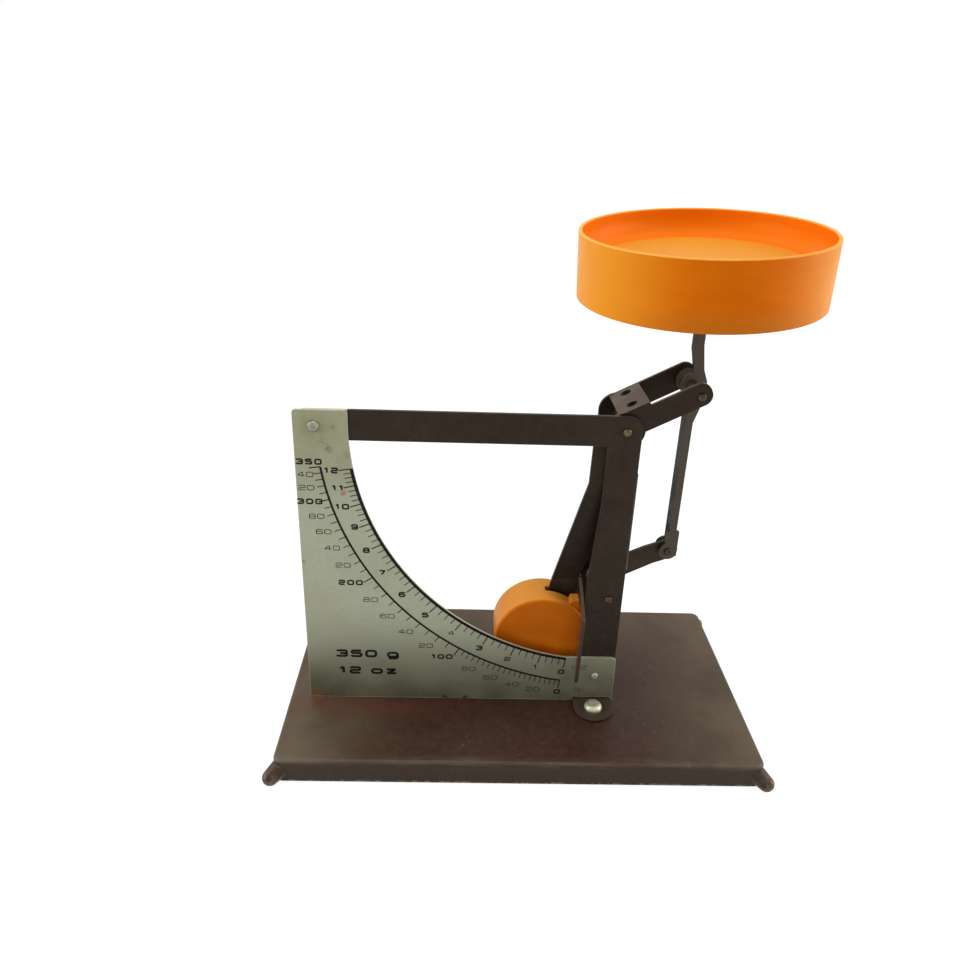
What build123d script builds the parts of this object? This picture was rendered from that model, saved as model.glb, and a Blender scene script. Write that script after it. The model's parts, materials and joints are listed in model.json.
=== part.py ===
from build123d import *
from math import asin, atan2, cos, degrees, hypot, radians, sin, sqrt, tan
import os

# Pendulum letter scale. Millimetres, +X to the reader's right, +Y away from the reader,
# +Z up, origin on the ground under the middle of the whole outline.

# Base tray, a pressed steel sheet with a turned-down skirt
base_width = 180.0
base_depth = 98.4
base_sheet = 1.0
base_top_z = 10.2
base_rim_z = 0.6
base_corner_radius = 3.4
base_fold_radius = 1.3
foot_ball_radius = 3.0
foot_outset = 0.7
foot_flat = 0.15
foot_root_inset = 4.6
foot_root_radius = 4.0
foot_root_drop = 4.1

# Pan, a moulded dish with a deep skirt that hangs round the top of the stem. It leans
# a little towards the reader and towards the plate.
pan_radius = 42.1
pan_foot_radius = 41.9
pan_height = 22.3
pan_rim_z = 191.9
pan_reach = 55.55
pan_y = 4.0
pan_lean = radians(3.5)
pan_side_lean = radians(2.6)
pan_wall = 1.3
pan_dish_depth = 9.5
pan_floor_radius = 34.2
pan_floor = 1.5
pan_rim_round = 0.5
pan_boss_radius = 6.4
pan_boss_length = 9.0
pan_socket_gap = 0.05
pan_socket_drop = 0.3
pan_mark_radius = 0.8
pan_mark_depth = 0.3

# The base stands left of the middle of the outline, because the pan overhangs on the right
pan_side = pan_foot_radius * cos(pan_side_lean) + (pan_height - pan_dish_depth) * sin(pan_side_lean)
base_x = (base_width / 2 + foot_outset + foot_ball_radius - pan_reach - pan_side) / 2
pan_x = base_x + pan_reach

# The four pivots of the linkage. The pan pivot and the guide pivot sit at the same
# offset from the two pivots in the frame, so that the carrier stays upright.
main_reach = 32.8
main_z = 125.9
pivot_spacing = 68.2
link_run = 24.5
link_rise = 12.9
main_x = base_x + main_reach
stay_z = main_z - pivot_spacing
pan_pin_x = main_x + link_run
pan_pin_z = main_z + link_rise
guide_z = stay_z + link_rise
link_length = hypot(link_run, link_rise)
link_slope = atan2(link_rise, link_run)

# Frame, one folded sheet: front plate, side web, rear plate and two foot tabs
frame_sheet = 1.2
frame_front_y = -13.5
frame_rear_y = 11.5
bar_inset = 2.0
bar_above_pivot = 5.8
bar_below_pivot = 5.4
bar_end_round = 2.0
bar_corner_round = 5.0
post_left_reach = 6.4
post_right_reach = 5.3
post_waist_reach = 8.65
taper_below_pivot = 28.4
waist_above_stay = 8.3
flare_height = 17.8
web_overhang = 0.65
web_below_pivot = 16.4
web_above_stay = 12.8
web_bend_radius = 1.5
tab_width = 15.0
tab_reach = 14.0
tab_fold_radius = 1.1
tab_inset = 0.5
bar_top_z = main_z + bar_above_pivot
bar_bottom_z = main_z - bar_below_pivot
post_left_x = main_x - post_left_reach
post_right_x = main_x + post_right_reach
post_waist_x = main_x - post_waist_reach
taper_top_z = main_z - taper_below_pivot
taper_end_z = stay_z + waist_above_stay
post_flare_z = base_top_z + flare_height
web_x = post_right_x + web_overhang
web_bend_x = web_x - web_bend_radius
web_top_z = main_z - web_below_pivot
web_bottom_z = stay_z + web_above_stay
tab_right_x = post_right_x - tab_inset
tab_left_x = tab_right_x - tab_width
tab_x = tab_right_x - tab_width / 2
tab_straight = tab_reach - tab_width / 2
frame_back_y = frame_front_y + frame_sheet
rear_inner_y = frame_rear_y - frame_sheet

# Scale plate, a thin sheet riveted to the front of the frame
plate_sheet = 0.8
plate_arc_radius = 96.0
plate_strap_width = 18.8
plate_step_rise = 1.2
plate_overhang = 0.35
plate_top_round = 1.2
plate_step_round = 1.9
plate_notch_gap = 0.1
plate_notch_height = 1.7
plate_tab_inset = 53.3
plate_tab_width = 8.2
plate_tab_depth = 2.6
plate_tab_gap = 0.2
strap_rivet_inset = 7.1
strap_rivet_drop = 5.9
side_rivet_inset = 7.85
side_rivet_height = 12.2
strap_right_x = main_x - plate_arc_radius
plate_left_x = strap_right_x - plate_strap_width
plate_right_x = post_right_x + plate_overhang
plate_step_z = main_z - plate_arc_radius + plate_step_rise
plate_tab_x = plate_left_x + plate_tab_inset + plate_tab_width / 2
plate_front_y = frame_front_y - plate_sheet
bar_left_x = plate_left_x + bar_inset
strap_rivet_x = plate_left_x + strap_rivet_inset
strap_rivet_z = bar_top_z - strap_rivet_drop
side_rivet_x = plate_right_x - side_rivet_inset
side_rivet_z = base_top_z + side_rivet_height

# Pins, washers, sleeves and rivets
pin_radius = 1.15
pin_head_radius = 1.5
pin_head_height = 0.8
pin_head_round = 0.5
run_gap = 0.05
guide_gap = 0.08
side_gap = 0.1
washer_radius = 3.2
eye_washer_radius = 3.7
eye_washer_height = 0.5
sleeve_radius = 2.0
strap_rivet_radius = 1.2
strap_rivet_head_radius = 2.05
strap_rivet_head_height = 0.9
side_rivet_radius = 0.8
side_rivet_head_radius = 1.3
side_rivet_head_height = 0.6
foot_rivet_radius = 2.0
foot_rivet_head_radius = 3.5
foot_rivet_head_height = 2.1
clench_height = 0.8
clench_flare = 0.5
dome_share = 0.85

# Beam, one folded sheet: two arms, a bridge with two holes, the pendulum and the pointer
beam_sheet = 1.2
beam_side_gap = 0.4
lobe_radius = 6.7
arm_top_offset = 6.4
arm_bottom_offset = 3.3
front_arm_offset = 5.0
rear_arm_offset = 2.6
arm_end_reach = 4.0
arm_end_round = 3.8
bridge_start = -0.3
bridge_end = 11.2
bridge_hole_radius = 2.0
bridge_hole_spread = 6.05
shoulder_reach = 11.0
bend_drop = 20.6
bend_left_reach = 11.3
bend_width = 11.4
waist_drop = 65.9
waist_left_reach = 20.6
waist_width = 10.1
tongue_left_reach = 21.6
tongue_width = 11.0
tongue_radius = 5.0
beam_front_y = frame_back_y + beam_side_gap
beam_rear_y = rear_inner_y - beam_side_gap
bend_z = main_z - bend_drop
waist_z = main_z - waist_drop

# Counterweight, a moulded case round two steel discs riveted to the pendulum
weight_arm_run = 23.8
weight_arm_drop = 89.5
weight_radius = 18.6
weight_front_y = -10.3
weight_rear_y = 6.0
weight_wall = 1.6
weight_edge_round = 1.2
weight_cap_sheet = 1.4
weight_plug = 1.2
weight_plug_gap = 0.05
disc_radius = 16.6
slot_margin = 0.9
slot_side_margin = 1.4
lug_left_reach = 10.0
lug_flat_inset = 0.9
lug_right_reach = 14.6
lug_foot_reach = 16.7
lug_rise = 17.3
lug_front_y = -8.8
lug_rear_y = 2.4
weight_rivet_radius = 2.0
weight_rivet_head_radius = 3.2
weight_rivet_head_height = 0.9
weight_x = main_x - weight_arm_run
weight_z = main_z - weight_arm_drop
weight_top_z = weight_z + weight_radius
case_rear_y = weight_rear_y - weight_cap_sheet
pendulum_y = (weight_front_y + weight_rear_y) / 2
pendulum_front_y = pendulum_y - beam_sheet / 2
pendulum_rear_y = pendulum_y + beam_sheet / 2

# Pointer, a blade that turns forward from the pendulum and hangs in front of the plate
pointer_reach = 10.3
pointer_root_top = 64.4
pointer_root_height = 6.8
pointer_neck_top = 68.7
pointer_neck_height = 4.2
pointer_plate_gap = 1.6
pointer_depth = 4.8
pointer_tip_depth = 1.5
pointer_past_arc = 9.7
pointer_point_length = 3.0
pointer_x = main_x - pointer_reach
pointer_back_y = plate_front_y - pointer_plate_gap
pointer_tip_z = main_z - plate_arc_radius - pointer_past_arc

# Carrier, a folded strip that holds the pan upright
carrier_sheet = 1.0
carrier_front_y = 1.5
carrier_rear_y = 8.2
carrier_left_reach = 0.3
carrier_width = 2.6
carrier_ear_radius = 4.4
carrier_toe_radius = 3.5
carrier_foot_left_reach = 1.6
carrier_foot_width = 5.05
carrier_foot_drop = 2.2
carrier_foot_rise = 9.0
carrier_foot_round = 0.5
channel_above_guide = 11.0
channel_below_pin = 7.5
stem_taper_start = 5.5
stem_taper_end = 12.0
wing_top = 14.6
wing_root_rise = 5.6
wing_root_reach = 3.6
wing_reach = 5.2
wing_rise = 1.5
wing_drop = 5.0
wing_foot = 14.5
carrier_left_x = pan_pin_x - carrier_left_reach
carrier_right_x = carrier_left_x + carrier_width
carrier_x = carrier_left_x + carrier_width / 2
carrier_foot_x = pan_pin_x - carrier_foot_left_reach + carrier_foot_width / 2
carrier_foot_height = carrier_foot_rise + carrier_foot_drop
carrier_foot_z = guide_z + (carrier_foot_rise - carrier_foot_drop) / 2
channel_low_z = guide_z + channel_above_guide
channel_high_z = pan_pin_z - channel_below_pin
dish_z = pan_rim_z - pan_dish_depth
stem_top_z = dish_z - pan_floor - pan_socket_drop

# Guide stay, a flat link under the beam
stay_sheet = 1.2
stay_root_radius = 5.9
stay_root_offset = 5.7
stay_shoulder_run = 20.5
stay_shoulder_offset = 5.0
stay_bottom_offset = 3.3
stay_eye_radius = 4.1
stay_front_y = carrier_front_y + carrier_sheet + eye_washer_height + side_gap
stay_rear_y = stay_front_y + stay_sheet


def upright(depth):
    """Upright plane at the given depth, in X and Z. Extruding goes towards the reader."""
    return Plane.XZ.offset(-depth)


def edges_at(shape, axis, x=None, y=None, z=None, reach=0.05):
    """Edges along an axis whose middles lie at the given coordinates."""
    found = shape.edges().filter_by(axis)
    if x is not None:
        found = found.filter_by(lambda e: abs(e.center().X - x) < reach)
    if y is not None:
        found = found.filter_by(lambda e: abs(e.center().Y - y) < reach)
    if z is not None:
        found = found.filter_by(lambda e: abs(e.center().Z - z) < reach)
    return found


def link_point(x, z, along, across):
    """Point measured from a frame pivot along the links and square to them."""
    run = along * cos(link_slope) - across * sin(link_slope)
    rise = along * sin(link_slope) + across * cos(link_slope)
    return (x + run, z + rise)


def cross_pin(x, z, front, rear, shaft, head, height, rounding):
    """Pin along Y with a low domed head at each end."""
    with BuildPart() as pin:
        with BuildSketch(upright(rear)):
            with Locations((x, z)):
                Circle(shaft)
        extrude(amount=rear - front)
        for head_rear in (front, rear + height):
            with BuildSketch(upright(head_rear)):
                with Locations((x, z)):
                    Circle(head)
            extrude(amount=height)
        fillet(pin.edges().group_by(Axis.Y)[0], rounding)
        fillet(pin.edges().group_by(Axis.Y)[-1], rounding)
    return pin


def ring(x, z, front, rear, outer, inner):
    """Washer or sleeve round a pin along Y."""
    with BuildPart() as piece:
        with BuildSketch(upright(rear)):
            with Locations((x, z)):
                Circle(outer)
                Circle(inner, mode=Mode.SUBTRACT)
        extrude(amount=rear - front)
    return piece


def plate_rivet(x, z, shank, head, height):
    """Rivet through the scale plate and the frame, with its domed head towards the reader."""
    with BuildPart() as rivet:
        for rear, radius, length in (
            (frame_back_y + clench_height, shank + clench_flare, clench_height),
            (frame_back_y, shank, frame_sheet + plate_sheet),
            (plate_front_y, head, height),
        ):
            with BuildSketch(upright(rear)):
                with Locations((x, z)):
                    Circle(radius)
            extrude(amount=length)
        fillet(rivet.edges().group_by(Axis.Y)[0], height * dome_share)
    return rivet


# Base tray
foot_centre_z = foot_ball_radius - foot_flat
with BuildPart() as base_tray:
    with BuildSketch(Plane.XY.offset(base_rim_z)):
        with Locations((base_x, 0)):
            RectangleRounded(base_width, base_depth, base_corner_radius)
    extrude(amount=base_top_z - base_rim_z)
    fillet(base_tray.faces().sort_by(Axis.Z)[-1].edges(), base_fold_radius)
    for side_x in (-1, 1):
        for side_y in (-1, 1):
            ball = Vector(
                base_x + side_x * (base_width / 2 + foot_outset),
                side_y * (base_depth / 2 + foot_outset),
                foot_centre_z,
            )
            root = Vector(
                base_x + side_x * (base_width / 2 - foot_root_inset),
                side_y * (base_depth / 2 - foot_root_inset),
                base_top_z - foot_root_drop,
            )
            with Locations(ball):
                Sphere(foot_ball_radius)
            with Locations(Plane(origin=ball, z_dir=root - ball)):
                Cone(
                    foot_ball_radius,
                    foot_root_radius,
                    (root - ball).length,
                    align=(Align.CENTER, Align.CENTER, Align.MIN),
                )
    with BuildSketch(Plane.XY.offset(base_rim_z)):
        with Locations((base_x, 0)):
            RectangleRounded(
                base_width - 2 * base_sheet,
                base_depth - 2 * base_sheet,
                base_corner_radius - base_sheet,
            )
    extrude(amount=base_top_z - base_sheet - base_rim_z, mode=Mode.SUBTRACT)
    for side_x in (-1, 1):
        for side_y in (-1, 1):
            ball = Vector(
                base_x + side_x * (base_width / 2 + foot_outset),
                side_y * (base_depth / 2 + foot_outset),
                foot_centre_z,
            )
            root = Vector(
                base_x + side_x * (base_width / 2 - foot_root_inset),
                side_y * (base_depth / 2 - foot_root_inset),
                base_top_z - foot_root_drop,
            )
            with Locations(ball):
                Sphere(foot_ball_radius - base_sheet, mode=Mode.SUBTRACT)
            with Locations(Plane(origin=ball, z_dir=root - ball)):
                Cone(
                    foot_ball_radius - base_sheet,
                    foot_root_radius - base_sheet,
                    (root - ball).length,
                    align=(Align.CENTER, Align.CENTER, Align.MIN),
                    mode=Mode.SUBTRACT,
                )
    with Locations((base_x, 0, 0)):
        Box(
            base_width * 2,
            base_depth * 2,
            foot_ball_radius,
            align=(Align.CENTER, Align.CENTER, Align.MAX),
            mode=Mode.SUBTRACT,
        )
    with BuildSketch(Plane.XY.offset(base_top_z)):
        with Locations((plate_tab_x, frame_front_y - plate_sheet / 2)):
            Rectangle(plate_tab_width + 2 * plate_tab_gap, plate_sheet + 2 * plate_tab_gap)
        with Locations(
            (tab_x, frame_front_y - tab_straight),
            (tab_x, frame_rear_y + tab_straight),
        ):
            Circle(foot_rivet_radius)
    extrude(amount=-2 * base_sheet, mode=Mode.SUBTRACT)
base_tray.part.label = "base_tray"

# Frame
with BuildPart() as frame:
    with BuildSketch(upright(frame_back_y)) as front_blank:
        with BuildLine():
            Polyline(
                (bar_left_x, bar_top_z),
                (post_right_x, bar_top_z),
                (post_right_x, web_top_z),
                (web_bend_x, web_top_z),
                (web_bend_x, web_bottom_z),
                (post_right_x, web_bottom_z),
                (post_right_x, base_top_z),
                (tab_left_x, base_top_z),
                (tab_left_x, post_flare_z - (post_waist_x - tab_left_x)),
                (post_waist_x, post_flare_z),
                (post_waist_x, taper_end_z),
                (post_left_x, taper_top_z),
                (post_left_x, bar_bottom_z),
                (bar_left_x, bar_bottom_z),
                close=True,
            )
        make_face()
        fillet(front_blank.vertices().sort_by_distance((post_right_x, bar_top_z, 0))[0], bar_corner_round)
        bar_end = front_blank.vertices().sort_by_distance((bar_left_x, (bar_top_z + bar_bottom_z) / 2, 0))
        fillet(bar_end[0:2], bar_end_round)
        with Locations((main_x, main_z), (main_x, stay_z)):
            Circle(pin_radius, mode=Mode.SUBTRACT)
        with Locations((strap_rivet_x, strap_rivet_z)):
            Circle(strap_rivet_radius, mode=Mode.SUBTRACT)
        with Locations((side_rivet_x, side_rivet_z)):
            Circle(side_rivet_radius, mode=Mode.SUBTRACT)
    extrude(amount=frame_sheet)
    with BuildSketch(upright(frame_rear_y)) as rear_blank:
        with BuildLine():
            Polyline(
                (post_left_x, main_z),
                (post_right_x, main_z),
                (post_right_x, web_top_z),
                (web_bend_x, web_top_z),
                (web_bend_x, web_bottom_z),
                (post_right_x, web_bottom_z),
                (post_right_x, base_top_z),
                (tab_left_x, base_top_z),
                (tab_left_x, post_flare_z - (post_waist_x - tab_left_x)),
                (post_waist_x, post_flare_z),
                (post_waist_x, taper_end_z),
                (post_left_x, taper_top_z),
                close=True,
            )
        make_face()
        with Locations((main_x, main_z)):
            Circle(post_right_reach)
        with Locations((main_x, main_z), (main_x, stay_z)):
            Circle(pin_radius, mode=Mode.SUBTRACT)
    extrude(amount=frame_sheet)
    with BuildSketch(Plane.XY.offset(web_bottom_z)) as web_fold:
        web_y = (frame_front_y + frame_rear_y) / 2
        web_span = frame_rear_y - frame_front_y
        with Locations((web_x - web_bend_radius, web_y)):
            Rectangle(2 * web_bend_radius, web_span)
        fillet(web_fold.vertices().group_by(Axis.X)[-1], web_bend_radius)
        with Locations((web_x - web_bend_radius - frame_sheet, web_y)):
            Rectangle(2 * web_bend_radius, web_span - 2 * frame_sheet, mode=Mode.SUBTRACT)
    extrude(amount=web_top_z - web_bottom_z)
    with BuildSketch(Plane.XY.offset(base_top_z)):
        for toward, start in ((-1, frame_front_y), (1, frame_rear_y)):
            with Locations((tab_x, start + toward * (tab_straight - frame_sheet) / 2)):
                Rectangle(tab_width, tab_straight + frame_sheet)
            with Locations((tab_x, start + toward * tab_straight)):
                Circle(tab_width / 2)
                Circle(foot_rivet_radius, mode=Mode.SUBTRACT)
    extrude(amount=frame_sheet)
    fillet(edges_at(frame, Axis.X, y=frame_back_y, z=base_top_z), tab_fold_radius)
    fillet(edges_at(frame, Axis.X, y=rear_inner_y, z=base_top_z), tab_fold_radius)
frame.part.label = "frame"

# Scale plate
step_run = sqrt(plate_arc_radius**2 - (main_z - plate_step_z) ** 2)
step_sweep = degrees(asin((main_z - plate_step_z) / plate_arc_radius))
with BuildPart() as scale_plate:
    with BuildSketch(upright(frame_front_y)) as plate_blank:
        with BuildLine():
            arc = CenterArc((main_x, main_z), plate_arc_radius, 180, step_sweep)
            Polyline(
                (strap_right_x, main_z),
                (strap_right_x, bar_top_z),
                (plate_left_x, bar_top_z),
                (plate_left_x, base_top_z),
                (plate_right_x, base_top_z),
                (plate_right_x, plate_step_z),
                (main_x - step_run, plate_step_z),
            )
        make_face()
        for top_corner in ((plate_left_x, bar_top_z, 0), (strap_right_x, bar_top_z, 0)):
            fillet(plate_blank.vertices().sort_by_distance(top_corner)[0], plate_top_round)
        step_corner = (plate_right_x, plate_step_z, 0)
        fillet(plate_blank.vertices().sort_by_distance(step_corner)[0], plate_step_round)
        with Locations((tab_x, base_top_z + plate_notch_height / 2)):
            Rectangle(tab_width + 2 * plate_notch_gap, plate_notch_height, mode=Mode.SUBTRACT)
        with Locations((plate_tab_x, base_top_z - plate_tab_depth / 2)):
            Rectangle(plate_tab_width, plate_tab_depth)
        with Locations((strap_rivet_x, strap_rivet_z)):
            Circle(strap_rivet_radius, mode=Mode.SUBTRACT)
        with Locations((side_rivet_x, side_rivet_z)):
            Circle(side_rivet_radius, mode=Mode.SUBTRACT)
    extrude(amount=plate_sheet)
scale_plate.part.label = "scale_plate"

# Rivets that hold the scale plate
strap_rivet = plate_rivet(
    strap_rivet_x, strap_rivet_z, strap_rivet_radius, strap_rivet_head_radius, strap_rivet_head_height
)
strap_rivet.part.label = "strap_rivet"
side_rivet = plate_rivet(
    side_rivet_x, side_rivet_z, side_rivet_radius, side_rivet_head_radius, side_rivet_head_height
)
side_rivet.part.label = "side_rivet"

# Rivets that hold the frame to the base, one in each foot tab
with BuildPart() as foot_rivets:
    for low, radius, length in (
        (base_top_z - base_sheet - clench_height, foot_rivet_radius + clench_flare, clench_height),
        (base_top_z - base_sheet, foot_rivet_radius, base_sheet + frame_sheet),
        (base_top_z + frame_sheet, foot_rivet_head_radius, foot_rivet_head_height),
    ):
        with BuildSketch(Plane.XY.offset(low)):
            with Locations((tab_x, frame_front_y - tab_straight), (tab_x, frame_rear_y + tab_straight)):
                Circle(radius)
        extrude(amount=length)
    fillet(foot_rivets.edges().group_by(Axis.Z)[-1], foot_rivet_head_height * dome_share)
foot_rivets.part.label = "foot_rivets"

# Beam
arm_end = link_length + arm_end_reach
bridge_span = beam_rear_y - beam_front_y
with BuildPart() as beam:
    with BuildSketch(Plane.YZ.offset(weight_x - weight_radius)):
        with BuildLine():
            Polyline(
                (beam_front_y, pan_pin_z + link_length),
                (beam_front_y, bend_z),
                (pendulum_front_y, waist_z),
                (pendulum_front_y, weight_z - weight_radius),
                (pendulum_rear_y, weight_z - weight_radius),
                (pendulum_rear_y, waist_z),
                (beam_front_y + beam_sheet, bend_z),
                (beam_front_y + beam_sheet, pan_pin_z + link_length),
                close=True,
            )
        make_face()
    extrude(amount=weight_radius + weight_arm_run + link_run + link_length)
    with BuildSketch(upright(beam_rear_y)) as beam_blank:
        with BuildLine():
            Polyline(
                link_point(main_x, main_z, 0, arm_top_offset),
                link_point(main_x, main_z, bridge_end, arm_top_offset),
                link_point(main_x, main_z, bridge_end, front_arm_offset),
                link_point(main_x, main_z, arm_end, front_arm_offset),
                link_point(main_x, main_z, arm_end, -arm_bottom_offset),
                link_point(main_x, main_z, 0, -arm_bottom_offset),
                close=True,
            )
        make_face()
        for across in (front_arm_offset, -arm_bottom_offset):
            corner = link_point(main_x, main_z, arm_end, across)
            nearest = beam_blank.vertices().sort_by_distance((corner[0], corner[1], 0))[0]
            fillet(nearest, arm_end_round)
        with Locations((main_x, main_z)):
            Circle(lobe_radius)
        with BuildLine():
            Polyline(
                (main_x - shoulder_reach, main_z - lobe_radius),
                (main_x - bend_left_reach, bend_z),
                (main_x - waist_left_reach, waist_z),
                (main_x - tongue_left_reach, weight_top_z),
                (weight_x - tongue_radius, weight_z),
                (weight_x + tongue_radius, weight_z),
                (main_x - tongue_left_reach + tongue_width, weight_top_z),
                (main_x - waist_left_reach + waist_width, waist_z),
                (main_x - bend_left_reach + bend_width, bend_z),
                (main_x + lobe_radius, main_z),
                (main_x, main_z),
                (main_x - lobe_radius, main_z),
                close=True,
            )
        make_face()
        with Locations((weight_x, weight_z)):
            Circle(tongue_radius)
        with Locations((pointer_x, main_z - pointer_root_top - pointer_root_height / 2)):
            Rectangle(2 * beam_sheet, pointer_root_height)
        with Locations((main_x, main_z)):
            Circle(pin_radius + run_gap, mode=Mode.SUBTRACT)
        with Locations((pan_pin_x, pan_pin_z)):
            Circle(pin_radius, mode=Mode.SUBTRACT)
        with Locations((weight_x, weight_z)):
            Circle(weight_rivet_radius, mode=Mode.SUBTRACT)
    extrude(amount=bridge_span, mode=Mode.INTERSECT)
    with BuildSketch(upright(beam_rear_y)) as rear_arm:
        with BuildLine():
            Polyline(
                link_point(main_x, main_z, 0, arm_top_offset),
                link_point(main_x, main_z, arm_end, arm_top_offset),
                link_point(main_x, main_z, arm_end, -rear_arm_offset),
                link_point(main_x, main_z, 0, -rear_arm_offset),
                close=True,
            )
        make_face()
        for across in (arm_top_offset, -rear_arm_offset):
            corner = link_point(main_x, main_z, arm_end, across)
            nearest = rear_arm.vertices().sort_by_distance((corner[0], corner[1], 0))[0]
            fillet(nearest, arm_end_round)
        with Locations((main_x, main_z)):
            Circle(lobe_radius)
            Circle(pin_radius + run_gap, mode=Mode.SUBTRACT)
        with Locations((pan_pin_x, pan_pin_z)):
            Circle(pin_radius, mode=Mode.SUBTRACT)
    extrude(amount=beam_sheet)
    with BuildSketch(upright(beam_rear_y)):
        with BuildLine():
            Polyline(
                link_point(main_x, main_z, bridge_start, arm_top_offset),
                link_point(main_x, main_z, bridge_end, arm_top_offset),
                link_point(main_x, main_z, bridge_end, arm_top_offset - beam_sheet),
                link_point(main_x, main_z, bridge_start, arm_top_offset - beam_sheet),
                close=True,
            )
        make_face()
    extrude(amount=bridge_span)
    hole_point = link_point(main_x, main_z, (bridge_start + bridge_end) / 2, arm_top_offset)
    for spread in (-bridge_hole_spread, bridge_hole_spread):
        hole_origin = (hole_point[0], beam_front_y + bridge_span / 2 + spread, hole_point[1])
        hole_axis = (-sin(link_slope), 0, cos(link_slope))
        with BuildSketch(Plane(origin=hole_origin, x_dir=(0, 1, 0), z_dir=hole_axis)):
            Circle(bridge_hole_radius)
        extrude(amount=-2 * beam_sheet, mode=Mode.SUBTRACT)
    with BuildSketch(Plane.YZ.offset(pointer_x)):
        with BuildLine():
            Polyline(
                (pendulum_rear_y, main_z - pointer_root_top - pointer_root_height),
                (pendulum_rear_y, main_z - pointer_root_top),
                (frame_back_y, main_z - pointer_neck_top),
                (pointer_back_y - pointer_depth, main_z - pointer_neck_top - pointer_depth),
                (pointer_back_y - pointer_tip_depth, pointer_tip_z + pointer_point_length),
                (pointer_back_y, pointer_tip_z),
                (pointer_back_y, main_z - pointer_neck_top - pointer_neck_height),
                close=True,
            )
        make_face()
    extrude(amount=beam_sheet)
beam.part.label = "beam"

# Pins of the four pivots
main_pin = cross_pin(
    main_x, main_z, frame_front_y, frame_rear_y, pin_radius, pin_head_radius, pin_head_height, pin_head_round
)
main_pin.part.label = "main_pin"
stay_pin = cross_pin(
    main_x, stay_z, frame_front_y, frame_rear_y, pin_radius, pin_head_radius, pin_head_height, pin_head_round
)
stay_pin.part.label = "stay_pin"
pan_pin = cross_pin(
    pan_pin_x,
    pan_pin_z,
    beam_front_y,
    beam_rear_y,
    pin_radius,
    pin_head_radius,
    pin_head_height,
    pin_head_round,
)
pan_pin.part.label = "pan_pin"
guide_pin = cross_pin(
    pan_pin_x,
    guide_z,
    carrier_front_y,
    carrier_rear_y,
    pin_radius,
    pin_head_radius,
    pin_head_height,
    pin_head_round,
)
guide_pin.part.label = "guide_pin"

# Washers between the frame and the beam, both on the main pin
with BuildPart() as main_washers:
    for rear in (beam_front_y - side_gap, rear_inner_y):
        with BuildSketch(upright(rear)):
            with Locations((main_x, main_z)):
                Circle(washer_radius)
                Circle(pin_radius, mode=Mode.SUBTRACT)
        extrude(amount=beam_side_gap - side_gap)
main_washers.part.label = "main_washers"

# Sleeves that keep the guide stay at its depth on its pin
stay_sleeve_front = ring(main_x, stay_z, frame_back_y, stay_front_y - side_gap, sleeve_radius, pin_radius)
stay_sleeve_front.part.label = "stay_sleeve_front"
stay_sleeve_rear = ring(
    main_x,
    stay_z,
    stay_rear_y + side_gap,
    rear_inner_y,
    sleeve_radius,
    pin_radius,
)
stay_sleeve_rear.part.label = "stay_sleeve_rear"

# Sleeve and washer that keep the carrier at its depth on the pan pin
pan_sleeve = ring(
    pan_pin_x,
    pan_pin_z,
    beam_front_y + beam_sheet,
    carrier_front_y - side_gap,
    sleeve_radius,
    pin_radius,
)
pan_sleeve.part.label = "pan_sleeve"
pan_washer = ring(
    pan_pin_x,
    pan_pin_z,
    carrier_rear_y + side_gap,
    beam_rear_y - beam_sheet,
    washer_radius,
    pin_radius,
)
pan_washer.part.label = "pan_washer"

# Carrier
with BuildPart() as carrier:
    for rear, top_z in ((carrier_front_y + carrier_sheet, stem_top_z), (carrier_rear_y, pan_pin_z)):
        with BuildSketch(upright(rear)):
            with Locations((carrier_x, (top_z + guide_z) / 2)):
                Rectangle(carrier_width, top_z - guide_z)
            with Locations((pan_pin_x, pan_pin_z)):
                Circle(carrier_ear_radius)
            with Locations((pan_pin_x, guide_z)):
                Circle(carrier_toe_radius)
        extrude(amount=carrier_sheet)
    with BuildSketch(upright(carrier_front_y + carrier_sheet)):
        with BuildLine():
            Polyline(
                (carrier_right_x, pan_pin_z + wing_top),
                (pan_pin_x + wing_root_reach, pan_pin_z + wing_root_rise),
                (pan_pin_x + wing_reach, pan_pin_z + wing_rise),
                (pan_pin_x + wing_reach, pan_pin_z - wing_drop),
                (carrier_right_x, pan_pin_z - wing_foot),
                (carrier_left_x, pan_pin_z),
                close=True,
            )
        make_face()
        with Locations((carrier_foot_x, carrier_foot_z)):
            RectangleRounded(carrier_foot_width, carrier_foot_height, carrier_foot_round)
    extrude(amount=carrier_sheet)
    with BuildSketch(Plane.YZ.offset(carrier_left_x)):
        with Locations(((carrier_front_y + carrier_rear_y) / 2, (channel_low_z + channel_high_z) / 2)):
            Rectangle(carrier_rear_y - carrier_front_y, channel_high_z - channel_low_z)
        with BuildLine():
            Polyline(
                (carrier_front_y, pan_pin_z + stem_taper_start),
                (carrier_front_y + carrier_sheet, pan_pin_z + stem_taper_start),
                (carrier_rear_y, pan_pin_z + stem_taper_end),
                (carrier_rear_y, stem_top_z),
                (carrier_front_y, stem_top_z),
                close=True,
            )
        make_face()
    extrude(amount=carrier_sheet)
    with BuildSketch(upright(carrier_rear_y)):
        with Locations((pan_pin_x, pan_pin_z)):
            Circle(pin_radius + run_gap)
        with Locations((pan_pin_x, guide_z)):
            Circle(pin_radius)
    extrude(amount=carrier_rear_y - carrier_front_y, mode=Mode.SUBTRACT)
carrier.part.label = "carrier"

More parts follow.
